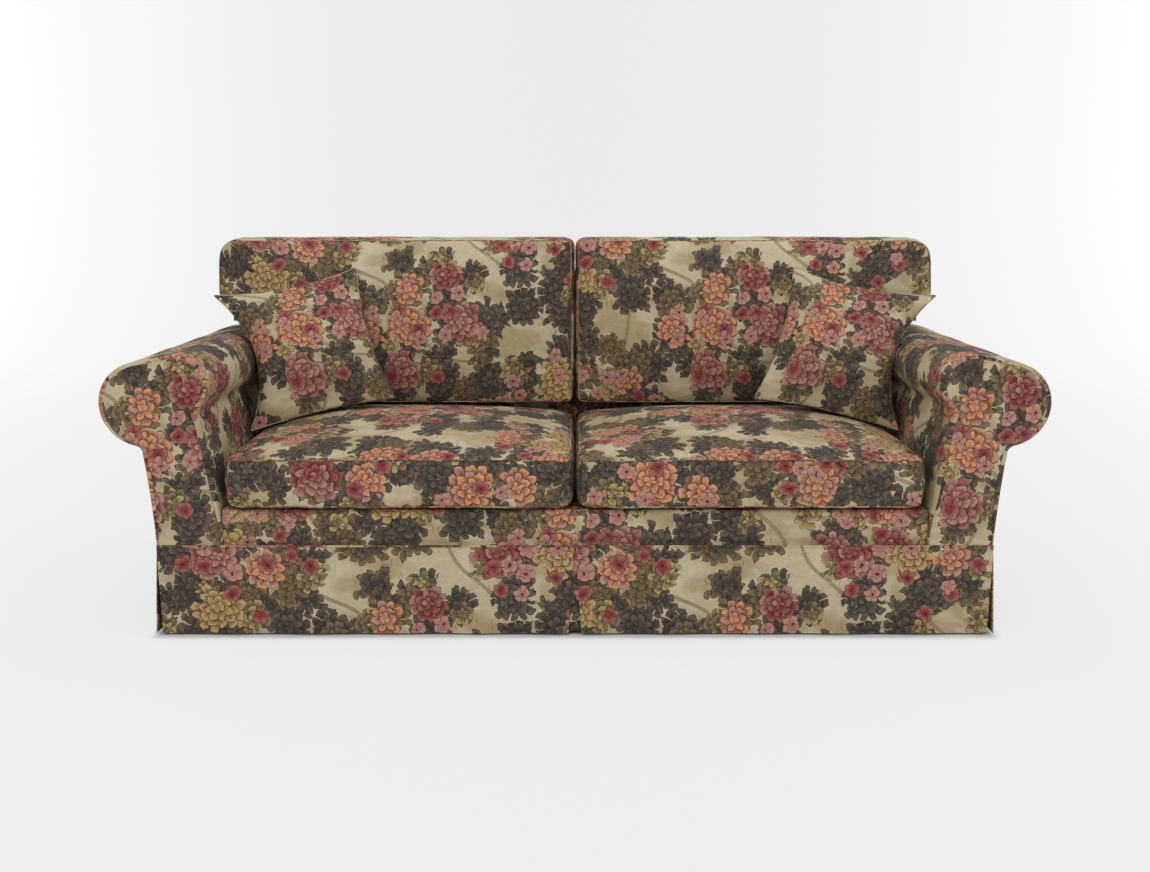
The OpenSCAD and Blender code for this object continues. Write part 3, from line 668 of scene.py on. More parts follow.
def printed_cloth():
    """Linen-weave cloth printed with bunches of flowers and dark leaves over a mottled cream ground."""
    s = settings("cloth")
    material, p = new_material("printed_cloth")
    strewn, layout, rosette, blossom = strewn_group(), spray_group(), rosette_group(), blossom_group()

    raw = p.put("ShaderNodeUVMap", uv_map="cloth").outputs[0]
    scaled = p.times(raw, 1.0 / s.print_scale)
    bend = p.noise(scaled, 34.0, 2.0, 0.65).outputs["Color"]
    sketched = p.vector("ADD", scaled, p.times(p.vector("SUBTRACT", bend, (0.5, 0.5, 0.5)), 0.020))

    # Ground: mottled across, with fine broken strokes
    mottle = p.cloud(p.stretched(scaled, (5.0, 11.0, 1.0)), 1.0, 3.0, 0.6).step(0.42, 0.60)
    colour = p.mix(mottle, s.ground, s.ground_shade)
    pale = p.cloud(scaled, 9.0, 3.0, 0.6).step(0.55, 0.70)
    colour = p.mix(pale * 0.45, colour, s.pale)
    strokes = p.cloud(p.stretched(sketched, (210.0, 26.0, 1.0)), 1.0, 2.0, 0.7).step(0.58, 0.66)
    patch = p.cloud(p.stretched(scaled, (12.0, 20.0, 1.0)), 1.0, 2.0, 0.5).step(0.56, 0.66)
    colour = p.mix(strokes * patch * 0.6, colour, s.leaf_light)

    # Slender twigs
    for seed, angle in ((1.0, 0.5), (4.0, 2.2)):
        turned = p.turned(scaled, angle)
        tx, ty = p.parts(turned)
        sway = (ty * 15.0 + seed).sine() * 0.034 + (ty * 41.0).sine() * 0.005
        off = abs(((tx + sway) / 0.27 + 0.37 * seed).fract() - 0.5) * 0.27
        seen = p.cloud(turned, 3.4 + seed * 0.3, 0.0, 0.5).step(0.47, 0.55)
        colour = p.mix(off.step(0.0046, 0.0030) * seen * 0.65, colour, s.leaf)
        colour = p.mix(off.step(0.0030, 0.0012) * seen * 0.65, colour, s.ground_shade)

    def leaf_tint(motif, shape):
        tone = p.mix(shape["Petal"] * 0.8, s.leaf, s.leaf_light)
        return p.mix(motif["Chance"].over(0.72) * 0.85, tone, s.olive)

    def ochre_tint(motif, shape):
        return p.mix(shape["Petal"].over(0.55) * 0.8, s.olive, s.ochre)

    def flower_tint(motif, shape):
        kind = motif["Chance"]
        outer = p.mix(kind.over(0.68), s.coral, p.mix(kind.over(0.85), s.pink, s.crimson))
        inner = p.mix(kind.over(0.68), s.pink, p.mix(kind.over(0.85), s.crimson, s.pink))
        tone = p.mix((shape["Petal"] - 0.68).over(0.0) * 0.7, outer, inner)
        return p.mix(motif["Other"].over(0.82) * 0.9, tone, s.ochre)

    # Scaly rosettes, layer over layer: each grows where its spray is nearer than far and not nearer than near
    for seed, pitch, loose, far, near, ring, rings, first, gap, tint, line, light in (
            (1.0, 0.106, 0.45, 0.235, 0.075, 0.0155, 3.0, 6.0, 0.42, leaf_tint, s.line, 0.10),
            (2.0, 0.100, 0.45, 0.205, -1.0, 0.0150, 3.0, 5.0, 0.36, leaf_tint, s.line, 0.13),
            (6.0, 0.094, 0.45, 0.185, 0.030, 0.0145, 2.0, 6.0, 0.36, leaf_tint, s.line, 0.16),
            (3.0, 0.110, 0.50, 0.190, 0.085, 0.0135, 2.0, 5.0, 0.30, ochre_tint, s.line, 0.30),
            (5.0, 0.116, 0.45, 0.150, -1.0, 0.0150, 3.0, 4.0, 0.22, flower_tint, s.red_line, 0.34)):
        motif = p.use(strewn, cloth=sketched, pitch=pitch, seed=seed, loose=loose)
        away = p.use(layout, point=motif["Centre"])["Away"]
        grown = away.under(far) * away.over(near)
        number = rings + motif["Other"].over(0.5)
        shape = p.use(
            rosette, local=motif["Local"], ring=ring, rings=number, first=first, more=3.0, gap=gap,
            seed=(motif["Chance"] * 40.0).floor() + seed)
        tone = tint(motif, shape)
        tone = p.mix(shape["Shade"] * light * (0.55 + shape["Petal"] * 0.45), tone, p.mix(0.62, tone, s.pale))
        tone = p.mix((1.0 - shape["Shade"]) * 0.6, tone, line)
        tone = p.mix(shape["Line"] * 0.85, tone, line)
        colour = p.mix(shape["Mask"] * grown, colour, tone)

    # Small blossoms on top
    for seed, pitch, size, far in ((8.0, 0.056, 0.021, 0.155), (9.0, 0.050, 0.019, 0.120)):
        motif = p.use(strewn, cloth=sketched, pitch=pitch, seed=seed, loose=0.5)
        away = p.use(layout, point=motif["Centre"])["Away"]
        shape = p.use(blossom, local=motif["Local"], size=size, petals=5.0)
        grown = away.under(far) * motif["Other"].over(0.58)
        tone = p.mix(motif["Chance"].over(0.55), s.pink, s.crimson)
        tone = p.mix(shape["Shade"] * 0.35, tone, p.mix(0.6, tone, s.pale))
        tone = p.mix(shape["Line"] * 0.8, tone, s.red_line)
        tone = p.mix(shape["Heart"] * 0.9, tone, s.line)
        colour = p.mix(shape["Mask"] * grown, colour, tone)

    # Dye taken up unevenly by the linen, then the weave itself: its slubs are the yarn's own tone, and its
    # raised threads are painted lighter and its hollows darker, painted light and shade on its relief
    uneven = p.cloud(scaled, 75.0, 3.0, 0.7).step(0.35, 0.75)
    colour = p.mix(uneven * 0.5, colour, (1.30, 1.26, 1.20), "MULTIPLY")
    tx, ty = p.parts(raw)
    slub = p.cloud(p.stretched(raw, (28.0, 700.0, 1.0)), 1.0, 1.0, 0.5)
    warp = (tx * (TURN / s.thread)).sine()
    weft = (ty * (TURN / s.thread)).sine()
    weave = warp * weft * 0.5 + slub * 0.9
    # Painted light and shade on the weave: lighter where the weave's height is high, darker where it is low,
    # with the slubs' own tone mixed in
    colour = p.mix(weave.step(0.3, 0.95) * 0.5, colour, (1.35, 1.33, 1.30), "MULTIPLY")
    colour = p.mix(weave.step(0.35, -0.2) * 0.5, colour, (0.62, 0.60, 0.58), "MULTIPLY")

    bump = p.put("ShaderNodeBump", {"Height": weave, "Strength": 0.35, "Distance": 0.0003}).outputs[0]
    p.finish(p.put("ShaderNodeBsdfPrincipled", {
        "Base Color": colour, "Roughness": 0.88, "Normal": bump, "Specular IOR Level": 0.25,
        "Sheen Weight": 0.04, "Sheen Roughness": 0.4}))
    return material


def cloth():
    return bpy.data.materials.get("printed_cloth") or printed_cloth()


def plain_material(name, colour, colour_two, scale, roughness, stretch, bump, metallic=0.0):
    """A material whose colour and roughness vary with a stretched noise on the piece's own coordinates."""
    material, p = new_material(name)
    where = p.stretched(p.put("ShaderNodeTexCoord").outputs["Object"], stretch)
    grain = p.cloud(where, scale, 4.0, 0.6, "3D")
    coarse = p.cloud(where, scale * 0.13, 2.0, 0.5, "3D")
    mixed = p.mix((grain * 0.6 + coarse * 0.4).step(0.35, 0.65), colour, colour_two)
    height = p.put("ShaderNodeBump", {"Height": grain, "Strength": 0.4, "Distance": bump}).outputs[0]
    p.finish(p.put("ShaderNodeBsdfPrincipled", {
        "Base Color": mixed, "Roughness": grain * 0.12 + (roughness - 0.06), "Metallic": metallic,
        "Normal": height}))
    return material


# Each slot's material: name, two colours, scale, roughness, stretch, bump and, for metal, metallic

INNER_LOOKS = {
    "beech": ("beech", (0.50, 0.33, 0.18), (0.36, 0.21, 0.10), 18.0, 0.55, (1, 6, 6), 0.0004),
    "plywood": ("plywood", (0.56, 0.41, 0.24), (0.42, 0.28, 0.14), 14.0, 0.6, (8, 8, 1), 0.0003),
    "steel": ("zinc_steel", (0.55, 0.56, 0.57), (0.40, 0.41, 0.42), 60.0, 0.38, (1, 1, 1), 0.0001, 1.0),
    "nylon_glide": ("glide_nylon", (0.035, 0.030, 0.026), (0.05, 0.044, 0.038), 80.0, 0.5, (1, 1, 1), 0.0001),
    "felt": ("pressed_felt", (0.17, 0.165, 0.16), (0.10, 0.10, 0.098), 160.0, 0.95, (1, 1, 1), 0.001),
    "foam": ("foam", (0.85, 0.78, 0.58), (0.74, 0.66, 0.46), 240.0, 0.9, (1, 1, 1), 0.0012),
    "fibre": ("fibre", (0.90, 0.90, 0.87), (0.78, 0.78, 0.75), 90.0, 0.95, (1, 1, 4), 0.002),
    "webbing": ("webbing", (0.045, 0.038, 0.032), (0.08, 0.07, 0.06), 300.0, 0.85, (6, 1, 1), 0.0008),
    "dust_cloth": ("dust_cloth", (0.012, 0.012, 0.013), (0.022, 0.022, 0.023), 420.0, 0.9, (1, 1, 1), 0.0004),
    "zip": ("zip", (0.09, 0.06, 0.035), (0.055, 0.037, 0.022), 500.0, 0.6, (1, 1, 1), 0.0003),
}


# The arm's scroll outline

CURL_R, SHOULDER_R, HOLLOW_R = 0.102, 0.072, 0.020
CURL = Vector((ARM[1].x - CURL_R, ARM_TOP - 0.018 - CURL_R))
SHOULDER = Vector((SEAT_HALF + 0.016 + SHOULDER_R, ARM_TOP - SHOULDER_R))
NECK_IN, NECK_OUT = Vector((0.042, 0.532)), Vector((0.020, 0.451))
ROUND_FOOT, ROUND_FRONT, ROUND_REAR = 0.004, 0.011, 0.008

# The arm's soft detail: the print's shift, the neck's creases and the front's dome, bulge and sunk edge

ARM_PRINT, FACE_PRINT = (0.10, -0.12), (0.99, 0, 0.47)
NECK_Z, NECK_SPREAD, NECK_CREASE, CREASE_REACH = 0.56, 0.07, 0.0026, 0.22
OUTER_X, OUTER_CLEAR, ARM_WAVE = 0.95, 0.0016, 0.0022
TUCKED = 0.55
DOME, FACE_BULGE, FACE_WAVE, EDGE_SINK, EDGE_TUCK = 0.007, 0.0025, 0.0014, 0.0032, 0.0012

# Folds round the roll's end: radius as a share of the roll's, first and last angle, depth

FACE_FOLDS = ((0.95, 100, 236, 0.0055), (0.66, 118, 214, 0.005), (1.32, 150, 228, 0.004))


def stem_in(z):
    return SEAT_HALF + NECK_IN.x * max(0.0, (z - SEAM_Z) / (NECK_IN.y - SEAM_Z)) ** 1.4


def stem_out(z):
    return STEM_OUT + NECK_OUT.x * max(0.0, (z - SEAM_Z) / (NECK_OUT.y - SEAM_Z)) ** 2


def hollow(stem, centre, radius, start, stop):
    """The stem with the fillet that leads to a roll, and the angle where the roll starts."""
    for k in range(721):
        a = start + (stop - start) * k / 720
        c = centre + Vector((math.cos(a), math.sin(a))) * (radius + HOLLOW_R)
        gaps = [(c - q).length for q in stem]
        if min(gaps) <= HOLLOW_R:
            break
    i = gaps.index(min(gaps))
    first = math.atan2(stem[i].y - c.y, stem[i].x - c.x)
    last = math.atan2(centre.y - c.y, centre.x - c.x)
    sweep = (last - first + math.pi) % TURN - math.pi
    return stem[:i + 1] + arc(c.x, c.y, HOLLOW_R, first, first + sweep)[1:-1], a


def scroll_halves():
    """The outline in two halves, each from its foot to the top: the inner one and the outer one."""
    tilt = CURL - SHOULDER
    top = math.atan2(tilt.y, tilt.x) + math.acos((SHOULDER_R - CURL_R) / tilt.length)
    halves = []
    for stem_x, neck, centre, radius, start, stop, steps in (
            (stem_in, NECK_IN, SHOULDER, SHOULDER_R, 180, 260, 30),
            (stem_out, NECK_OUT, CURL, CURL_R, -10, -100, 40)):
        rise = [SEAM_Z + (neck.y - SEAM_Z) * t / 60 for t in range(61)]
        stem = [Vector((stem_x(z), z)) for z in rise]
        stem += [Vector((stem_x(neck.y), neck.y)).lerp(centre, t / 60) for t in range(1, 40)]
        half, a = hollow(stem, centre, radius, math.radians(start), math.radians(stop))
        half += arc(centre.x, centre.y, radius, a, top, steps)
        halves.append(np.array([tuple(q) for q in half]))
    return halves


def arm_reach(z):
    """How far out the arm's inner outline lies at a height."""
    inner, _ = scroll_halves()
    rising = inner[np.r_[True, np.diff(inner[:, 1]) > 1e-6]]
    return np.interp(z, rising[:, 1], rising[:, 0])


def rounding(z, full):
    """How far the arm's face lies inside the outline: little at the foot, the full rounding above."""
    return blend(ROUND_FOOT, full, ramp((z - 0.25) / 0.12))


def inset(half, turn, full):
    """One half of the outline moved into the arm, to lie under the cover's rounded edge."""
    way = np.gradient(half, axis=0)
    way /= np.linalg.norm(way, axis=1)[:, None]
    into = np.c_[way[:, 1], -way[:, 0]] * turn
    return half + into * rounding(half[:, 1], full)[:, None] * TUCKED


def facing(name, y, way, dome, full):
    """A panel cut to the scroll outline, facing way along Y, its roll's end domed and its neck folded."""
    inner, outer = scroll_halves()
    rows, columns = 110, 56
    a = inset(even(inner, rows)[0], 1, full)
    b = inset(even(outer, rows)[0], -1, full)
    obj = grid(name, columns, rows)
    u, v, _ = points(obj).T
    j = row(v, rows)
    flat = a[j] * (1 - u)[:, None] + b[j] * u[:, None]
    edge = (1 - np.abs(2 * u - 1) ** 6) * (1 - v ** 12)
    reach = np.hypot(flat[:, 0] - CURL.x, flat[:, 1] - CURL.y)
    angle = np.degrees(np.arctan2(flat[:, 1] - CURL.y, flat[:, 0] - CURL.x)) % 360
    lift = FACE_BULGE * edge * ramp((flat[:, 1] - SEAM_Z) / 0.05)
    lift += dome * np.clip(1 - (reach / CURL_R) ** 2.5, 0, 1)
    for share, start, stop, deep in FACE_FOLDS:
        deep *= 1.0 if dome else 0.2
        off = reach - CURL_R * share
        along = ramp((angle - start) / 30) * ramp((stop - angle) / 30)
        lift -= deep * along * np.exp(-((off / 0.0065) ** 2)) * edge
        lift += deep * 0.6 * along * np.exp(-(((off + 0.013) / 0.009) ** 2)) * edge
    co = np.c_[flat[:, 0], np.full(len(flat), y), flat[:, 1]]
    lift += FACE_WAVE * edge * ripple(co, 0.17, 2.0)
    rim = np.minimum(np.minimum(u, 1 - u) * np.linalg.norm(b[j] - a[j], axis=1), (1 - v) * 0.5)
    under = (1 - TUCKED) * rounding(flat[:, 1], full) - EDGE_TUCK
    lift -= EDGE_SINK * (1 - ramp((rim - under) / 0.008))
    co[:, 1] += way * lift
    put_points(obj, co)
    if way > 0:
        flip(obj)
    return lay_flat(obj, (-way, 0, 0), (0, 0, 1), FACE_PRINT)


def make_arm():
    """The right arm's cover and its front panel."""
    inner, outer = scroll_halves()
    rows, columns, turn = 150, 74, 6
    path, run = even(np.vstack([inner, outer[::-1]]), rows)
    cover = grid("arm_wrap_right", columns, rows)
    u, v, _ = points(cover).T
    j, i = row(v, rows), row(u, columns)
    tangent = np.gradient(path, axis=0)
    out = np.c_[-tangent[:, 1], tangent[:, 0]]
    out /= np.linalg.norm(out, axis=1)[:, None]
    front, rear = rounding(path[j, 1], ROUND_FRONT), rounding(path[j, 1], ROUND_REAR)
    a = np.clip(i / turn, 0, 1) * math.pi / 2
    b = np.clip((columns - i) / turn, 0, 1) * math.pi / 2
    middle = np.clip((i - turn) / (columns - 2 * turn), 0, 1)
    straight = blend(Y_FRONT + front, Y_REAR - rear, middle)
    y = np.where(i >= columns - turn, Y_REAR - rear * (1 - np.cos(b)), straight)
    y = np.where(i <= turn, Y_FRONT + front * (1 - np.cos(a)), y)
    depth = front * (1 - np.sin(a)) + rear * (1 - np.sin(b))
    y = y + np.where(i == 0, 0.001, 0) - np.where(i == columns, 0.001, 0)
    co = np.c_[path[j, 0], y, path[j, 1]]
    near = ramp(np.minimum(u, 1 - u) * 14) * ramp(np.minimum(v, 1 - v) * 12)
    neck = np.exp(-(((co[:, 2] - NECK_Z) / NECK_SPREAD) ** 2)) * (co[:, 0] < OUTER_X)
    fold = np.sin(co[:, 1] * 46 + co[:, 2] * 30 + 1.5 * ripple(co, 0.5, 9.0))
    fold *= np.exp(-((co[:, 1] - Y_FRONT) / CREASE_REACH) ** 2)
    clear = OUTER_CLEAR * (co[:, 0] > OUTER_X)
    soft = near * (clear + ARM_WAVE * ripple(co, 0.26, 4.0) + NECK_CREASE * neck * fold) - depth
    co[:, 0] += out[j, 0] * soft
    co[:, 2] += out[j, 1] * soft
    put_points(cover, co)
    lay(cover, lambda c, v, f: np.c_[c[:, 1], run[j[v]]] + ARM_PRINT)
    outward(cover)
    tail = facing("arm_wrap_rear", Y_REAR, 1, 0.0, ROUND_REAR)
    cover = join([cover, tail], "arm_wrap_right")
    front_panel = facing("arm_facing_right", Y_FRONT, -1, DOME, ROUND_FRONT)
    return smooth(cover, 60), smooth(front_panel, 60)


# Boxed cushions: a grid extruded once, its sides cut into rows, then shaped


def boxed(name, nu, nv, cuts):
    """A closed block with u and v from -1 to 1 on its two panels and w from 1 to -1 down its border."""
    obj = plane(name, nu, nv, 2, (0, 0, -1))
    bpy.ops.object.mode_set(mode="EDIT")
    bpy.ops.mesh.select_all(action="SELECT")
    bpy.ops.mesh.extrude_region_move(TRANSFORM_OT_translate={"value": (0, 0, 2)})
    bpy.ops.mesh.select_all(action="DESELECT")
    bpy.ops.mesh.select_mode(type="EDGE")
    bpy.ops.object.mode_set(mode="OBJECT")
    if cuts:
        co = points(obj)
        for e in obj.data.edges:
            a, b = e.vertices
            e.select = bool(abs(co[a, 2] - co[b, 2]) > 1)
        bpy.ops.object.mode_set(mode="EDIT")
        bpy.ops.mesh.subdivide_edgering(number_cuts=cuts, interpolation="LINEAR", smoothness=0)
        bpy.ops.object.mode_set(mode="OBJECT")
    outward(obj)
    return obj, points(obj)


def rounded(x, y, a, b, r):
    """Puts the corner points of a rectangle onto quarter discs."""
    sx = (np.abs(x) - a + r) / r
    sy = (np.abs(y) - b + r) / r
    corner = (sx > 0) & (sy > 0)
    cx = np.sign(x) * (a - r + r * sx * np.sqrt(np.clip(1 - sy * sy / 2, 0, 1)))
    cy = np.sign(y) * (b - r + r * sy * np.sqrt(np.clip(1 - sx * sx / 2, 0, 1)))
    return np.where(corner, cx, x), np.where(corner, cy, y)


def rim_order(uvw, level):
    """The vertices of one seam, in order round the block."""
    rim = np.maximum(abs(uvw[:, 0]), abs(uvw[:, 1])) > 0.9999
    edge = np.flatnonzero(rim & (abs(uvw[:, 2] - level) < 1e-4))
    u, v = uvw[edge, 0], uvw[edge, 1]
    turn = np.where(v < -0.9999, u + 1, np.where(u > 0.9999, v + 3, np.where(v > 0.9999, 5 - u, 7 - v)))
    return edge[np.argsort(turn, kind="stable")]


def panel_map(uvw, co, level, up):
    """Lengths along the cloth of one panel, across and along the axis up."""
    pick = np.flatnonzero(abs(uvw[:, 2] - level) < 1e-4)
    grid_u, grid_v = np.round(uvw[pick, 0], 3), np.round(uvw[pick, 1], 3)
    us, vs = np.unique(grid_u), np.unique(grid_v)
    table = np.zeros((len(us), len(vs)), int)
    table[np.searchsorted(us, grid_u), np.searchsorted(vs, grid_v)] = pick
    where = co[table]
    level_axes, rising_axes = np.delete(where, up, axis=2), where[:, :, 1:]
    across = np.linalg.norm(np.diff(level_axes, axis=0, prepend=level_axes[:1]), axis=2).cumsum(0)
    upward = np.linalg.norm(np.diff(rising_axes, axis=1, prepend=rising_axes[:, :1]), axis=2).cumsum(1)
    out = np.zeros((len(uvw), 2))
    out[table, 0] = across - np.median(across[len(us) // 2])
    out[table, 1] = upward - np.median(upward[:, len(vs) // 2])
    return out


def both_panels(uvw, co, shift, up):
    """Lengths along the cloth of both panels, moved by a shift of the print."""
    return np.where(uvw[:, 2:] > 0, panel_map(uvw, co, 1.0, up), panel_map(uvw, co, -1.0, up)) + shift


def lay_cushion(obj, uvw, co, down, shift, up):
    """Lays the print along both panels, and round the border strip by its length."""

    def spot(q):
        return round(float(q[0]), 3), round(float(q[1]), 3)

    ring = rim_order(uvw, 1.0)
    run = run_along(co[np.r_[ring, ring[:1]]])
    length_at = {spot(uvw[i]): r for i, r in zip(ring, run)}
    around = np.array([length_at.get(spot(q), 0.0) for q in uvw])
    flat = both_panels(uvw, co, shift, up)
    depth = co @ np.array(down, float)

    def place(c, v, f):
        w = uvw[v, 2]
        high, low, far = (np.full(f.max() + 1, x) for x in (-9.0, 9.0, 0.0))
        np.maximum.at(high, f, w)
        np.minimum.at(low, f, w)
        s = around[v]
        np.maximum.at(far, f, s)
        s = np.where(far[f] - s > run[-1] / 2, s + run[-1], s)
        border = (high - low)[f] > 1e-3
        return np.where(border[:, None], np.c_[s + STRIP_PRINT, depth[v]], flat[v])

    return lay(obj, place)


def puff(obj, held, cap, pressure):
    """Swells a closed cover by cloth simulation, its seams held, and caps how far a point moves in or out."""
    if cap <= 0:
        return
    before, way = points(obj), normals(obj)
    pins = obj.vertex_groups.new(name="seam")
    pins.add([int(i) for i in held], 1.0, "REPLACE")
    take(obj)
    cloth_modifier = obj.modifiers.new("Cloth", "CLOTH")
    for key, value in (
            ("quality", 4), ("mass", 0.4), ("tension_stiffness", 18), ("compression_stiffness", 6),
            ("shear_stiffness", 6), ("bending_stiffness", 0.4), ("use_pressure", True),
            ("uniform_pressure_force", pressure), ("vertex_group_mass", "seam")):
        setattr(cloth_modifier.settings, key, value)
    cloth_modifier.settings.effector_weights.gravity = 0.0
    cloth_modifier.collision_settings.use_collision = False
    scene = bpy.context.scene
    scene.frame_start, scene.frame_end = 1, SWELL_FRAMES
    for f in range(1, scene.frame_end + 1):
        scene.frame_set(f)
    bpy.ops.object.modifier_apply(modifier=cloth_modifier.name)
    scene.frame_set(1)
    push = np.sum((points(obj) - before) * way, axis=1)
    put_points(obj, before + way * np.clip(push, -cap, cap)[:, None])
    obj.vertex_groups.clear()


def crease(obj, seams, depth, size, reach):
    """Small creases that run away from the seams and fade out."""
    co = points(obj)
    near = np.full(len(co), 9.0)
    for a in range(0, len(seams), 400):
        block = seams[a:a + 400]
        for b in range(0, len(co), 4000):
            d = np.linalg.norm(co[b:b + 4000, None] - block[None], axis=2).min(1)
            near[b:b + 4000] = np.minimum(near[b:b + 4000], d)
    fade = ramp(near / 0.012) * np.exp(-((near / reach) ** 2))
    wave = ripple(co, size, 1.0) * 0.6 + ripple(co, size * 2.3, 3.0) * 0.5
    put_points(obj, co + normals(obj) * (depth * fade * wave)[:, None])


def seam_groups(uvw):
    """The seams' points, which the cloth simulation holds, and those of the panel that rests on something."""
    rim = np.maximum(abs(uvw[:, 0]), abs(uvw[:, 1])) > 0.999
    return np.flatnonzero((np.abs(uvw[:, 2]) > 0.999) & rim), np.flatnonzero(uvw[:, 2] < -0.999)


def soften(obj, weight, rounds, low, high):
    """Rounds a form off, by a weight for each point, and gives it its overall size."""
    co = points(obj)
    a, b = read(obj.data.edges, "vertices", 2, np.int64).T
    count = np.bincount(np.r_[a, b], minlength=len(co))[:, None]
    for _ in range(rounds):
        total = np.zeros_like(co)
        np.add.at(total, a, co[b])
        np.add.at(total, b, co[a])
        co += (total / count - co) * (0.5 * weight[:, None])
    least, most = co.min(0), co.max(0)
    co = low + (co - least) * np.subtract(high, low) / (most - least)
    put_points(obj, co)
    return co


def finish_cushion(obj, rims, pucker_size, reach):
    """Swollen cover to finished cushion: creases along the seams, rolled seams and the filling."""
    s = settings("cushions")
    name = obj.name
    apply(obj, "SUBSURF", levels=1, render_levels=1)
    seams = [points(obj)[rim] for rim in rims]
    crease(obj, np.vstack(seams), s.pucker, pucker_size, reach)
    smooth(obj)
    core = twin(obj, name.replace("cushion", "stuffing"))
    put_points(core, points(core) - normals(core) * CLOTH)
    rolls = [tube("seam_roll", spaced(line, 0.010), s.seam, True, 2) for line in seams]
    return join([obj] + rolls, name), core


def on_its_side(pieces):
    """Presses a right-hand cushion flat where it meets the left one."""
    for piece in pieces:
        co = points(piece)
        co[:, 0] = np.maximum(co[:, 0], MIDDLE)
        put_points(piece, co)
    return pieces


# Sizes of the cushions, drawn for the right side

SEAT_W, SEAT_D = SEAT[1].x - SEAT[0].x, SEAT[1].y - SEAT[0].y
SEAT_MID = Vector(((SEAT[0].x + SEAT[1].x) / 2, (SEAT[0].y + SEAT[1].y) / 2))
SEAT_BORDER, SEAT_CROWN, SEAT_CORNER, SEAT_BULGE = 0.123, 0.038, 0.045, 0.004
SEAT_LOW = DECK_Z + 0.0003
MIDDLE, BACK_IN = 0.0006, 0.0015
BACK_LOW, BACK_HIGH = BACK[0].z, BACK[1].z
BACK_W, EAR_W = SEAT_HALF + 0.004 - BACK_IN, BACK[1].x - BACK_IN
BACK_EDGE, BACK_CROWN, BACK_DRAW, BACK_PIP = 0.130, 0.058, 0.012, 0.003
EAR_Z, EAR_STEP, EAR_CORNER, BACK_CORNER = 0.747, 0.044, 0.056, 0.016
SCATTER_W, SCATTER_T, SCATTER_DRAW, SCATTER_PINCH, SCATTER_SAG = 0.412, 0.120, 0.024, 0.048, 0.011
SCATTER_TURN, SCATTER_LEAN, SCATTER_TILT = (math.radians(a) for a in (16, 28, 11))
SCATTER_IN, SCATTER_UP, SCATTER_REACH = 0.112, 0.1965, 0.2965
SCATTER_CREASE, SCATTER_CORE = 0.0055, (0.95, 0.95, 0.92)
SWELL_FRAMES = 18

# Shifts of the print: on the seat, back and scatter cushions, and along every border strip and pleat

SEAT_PRINT, BACK_PRINT, SCATTER_PRINT, STRIP_PRINT = (0.02, -0.06), (0.0, 0.0), (0.03, -0.04), 0.21


def seat_shape(uvw):
    u, v, w = uvw.T
    push = SEAT_BULGE * (1 - w * w)
    a = SEAT_W / 2 - SEAT_BULGE + push
    b = SEAT_D / 2 - SEAT_BULGE + np.where(v > 0.99, 0, push)
    x, y = rounded(u * a, v * b, a, b, SEAT_CORNER + push)
    edge = np.maximum(abs(u), abs(v)) ** 6
    low = SEAT_LOW + 0.006 * edge
    high = SEAT_LOW + SEAT_BORDER + SEAT_CROWN * swell(u, v - 0.25 * (1 - v * v), 3.0)
    co = np.c_[x + SEAT_MID.x, y + SEAT_MID.y, low + (high - low) * (w + 1) / 2]
    co[:, 2] += 0.0024 * np.clip(w, 0, 1) * swell(u, v, 4.0) * ripple(co, 0.30, 11.0)
    return co


def make_seat_cushion():
    """The right seat cushion's cover and its foam."""
    s = settings("cushions")
    obj, uvw = boxed("seat_cushion_right", 50, 42, 5)
    put_points(obj, seat_shape(uvw))
    held, under = seam_groups(uvw)
    puff(obj, np.union1d(held, under), s.swell_cap, s.pressure)
    u, v, w = uvw.T
    side = ramp((np.maximum(abs(u), v - 0.06) - 0.84) / 0.16)
    ahead = ramp((-v - 0.86) / 0.14) * (1 - side) * 0.35
    weight = np.maximum(side, ahead) * np.where(w < -0.7, 0.5, 1.0)
    low, high = (MIDDLE, SEAT[0].y, SEAT_LOW), (SEAT_HALF, SEAT[1].y, SEAT[1].z + 0.012)
    co = soften(obj, weight, 5, low, high)
    lay_cushion(obj, uvw, co, (0, 0, 1), SEAT_PRINT, 1)
    rims = [rim_order(uvw, 1.0), rim_order(uvw, -1.0)]
    return on_its_side(finish_cushion(obj, rims, 0.05, 0.055))


def back_shape(uvw, inset_front):
    u, v, w = uvw.T
    push = np.where(v > -0.99, BACK_PIP * (1 - w * w), 0) + BACK_PIP - inset_front * np.clip(w, 0, 1) ** 3
    a, b = BACK_W / 2 - BACK_PIP, (BACK_HIGH - BACK_LOW) / 2 - BACK_PIP
    r = np.where(u > 0, EAR_CORNER, BACK_CORNER)
    x, y = rounded(u * (a + push), v * (b + push), a + push, b + push, r)
    z = (BACK_LOW + BACK_HIGH) / 2 + y
    wide = BACK_W + (EAR_W - BACK_W) * ramp((z - EAR_Z) / EAR_STEP + 0.5) - 2 * (BACK_PIP - push)
    x = BACK_IN + BACK_PIP - push + (x / (a + push) + 1) / 2 * wide
    rear = back_y(z) - 0.001 - BACK_DRAW * np.maximum(abs(u), abs(v)) ** 6
    near = back_y(z) - BACK_EDGE - BACK_CROWN * swell(u, v + 0.12 * (1 - v * v), 2.4)
    co = np.c_[x, rear + (near - rear) * (w + 1) / 2, z]
    co[:, 1] += 0.0034 * np.clip(w, 0, 1) * swell(u, v, 6.0) * ripple(co, 0.24, 5.0)
    return co


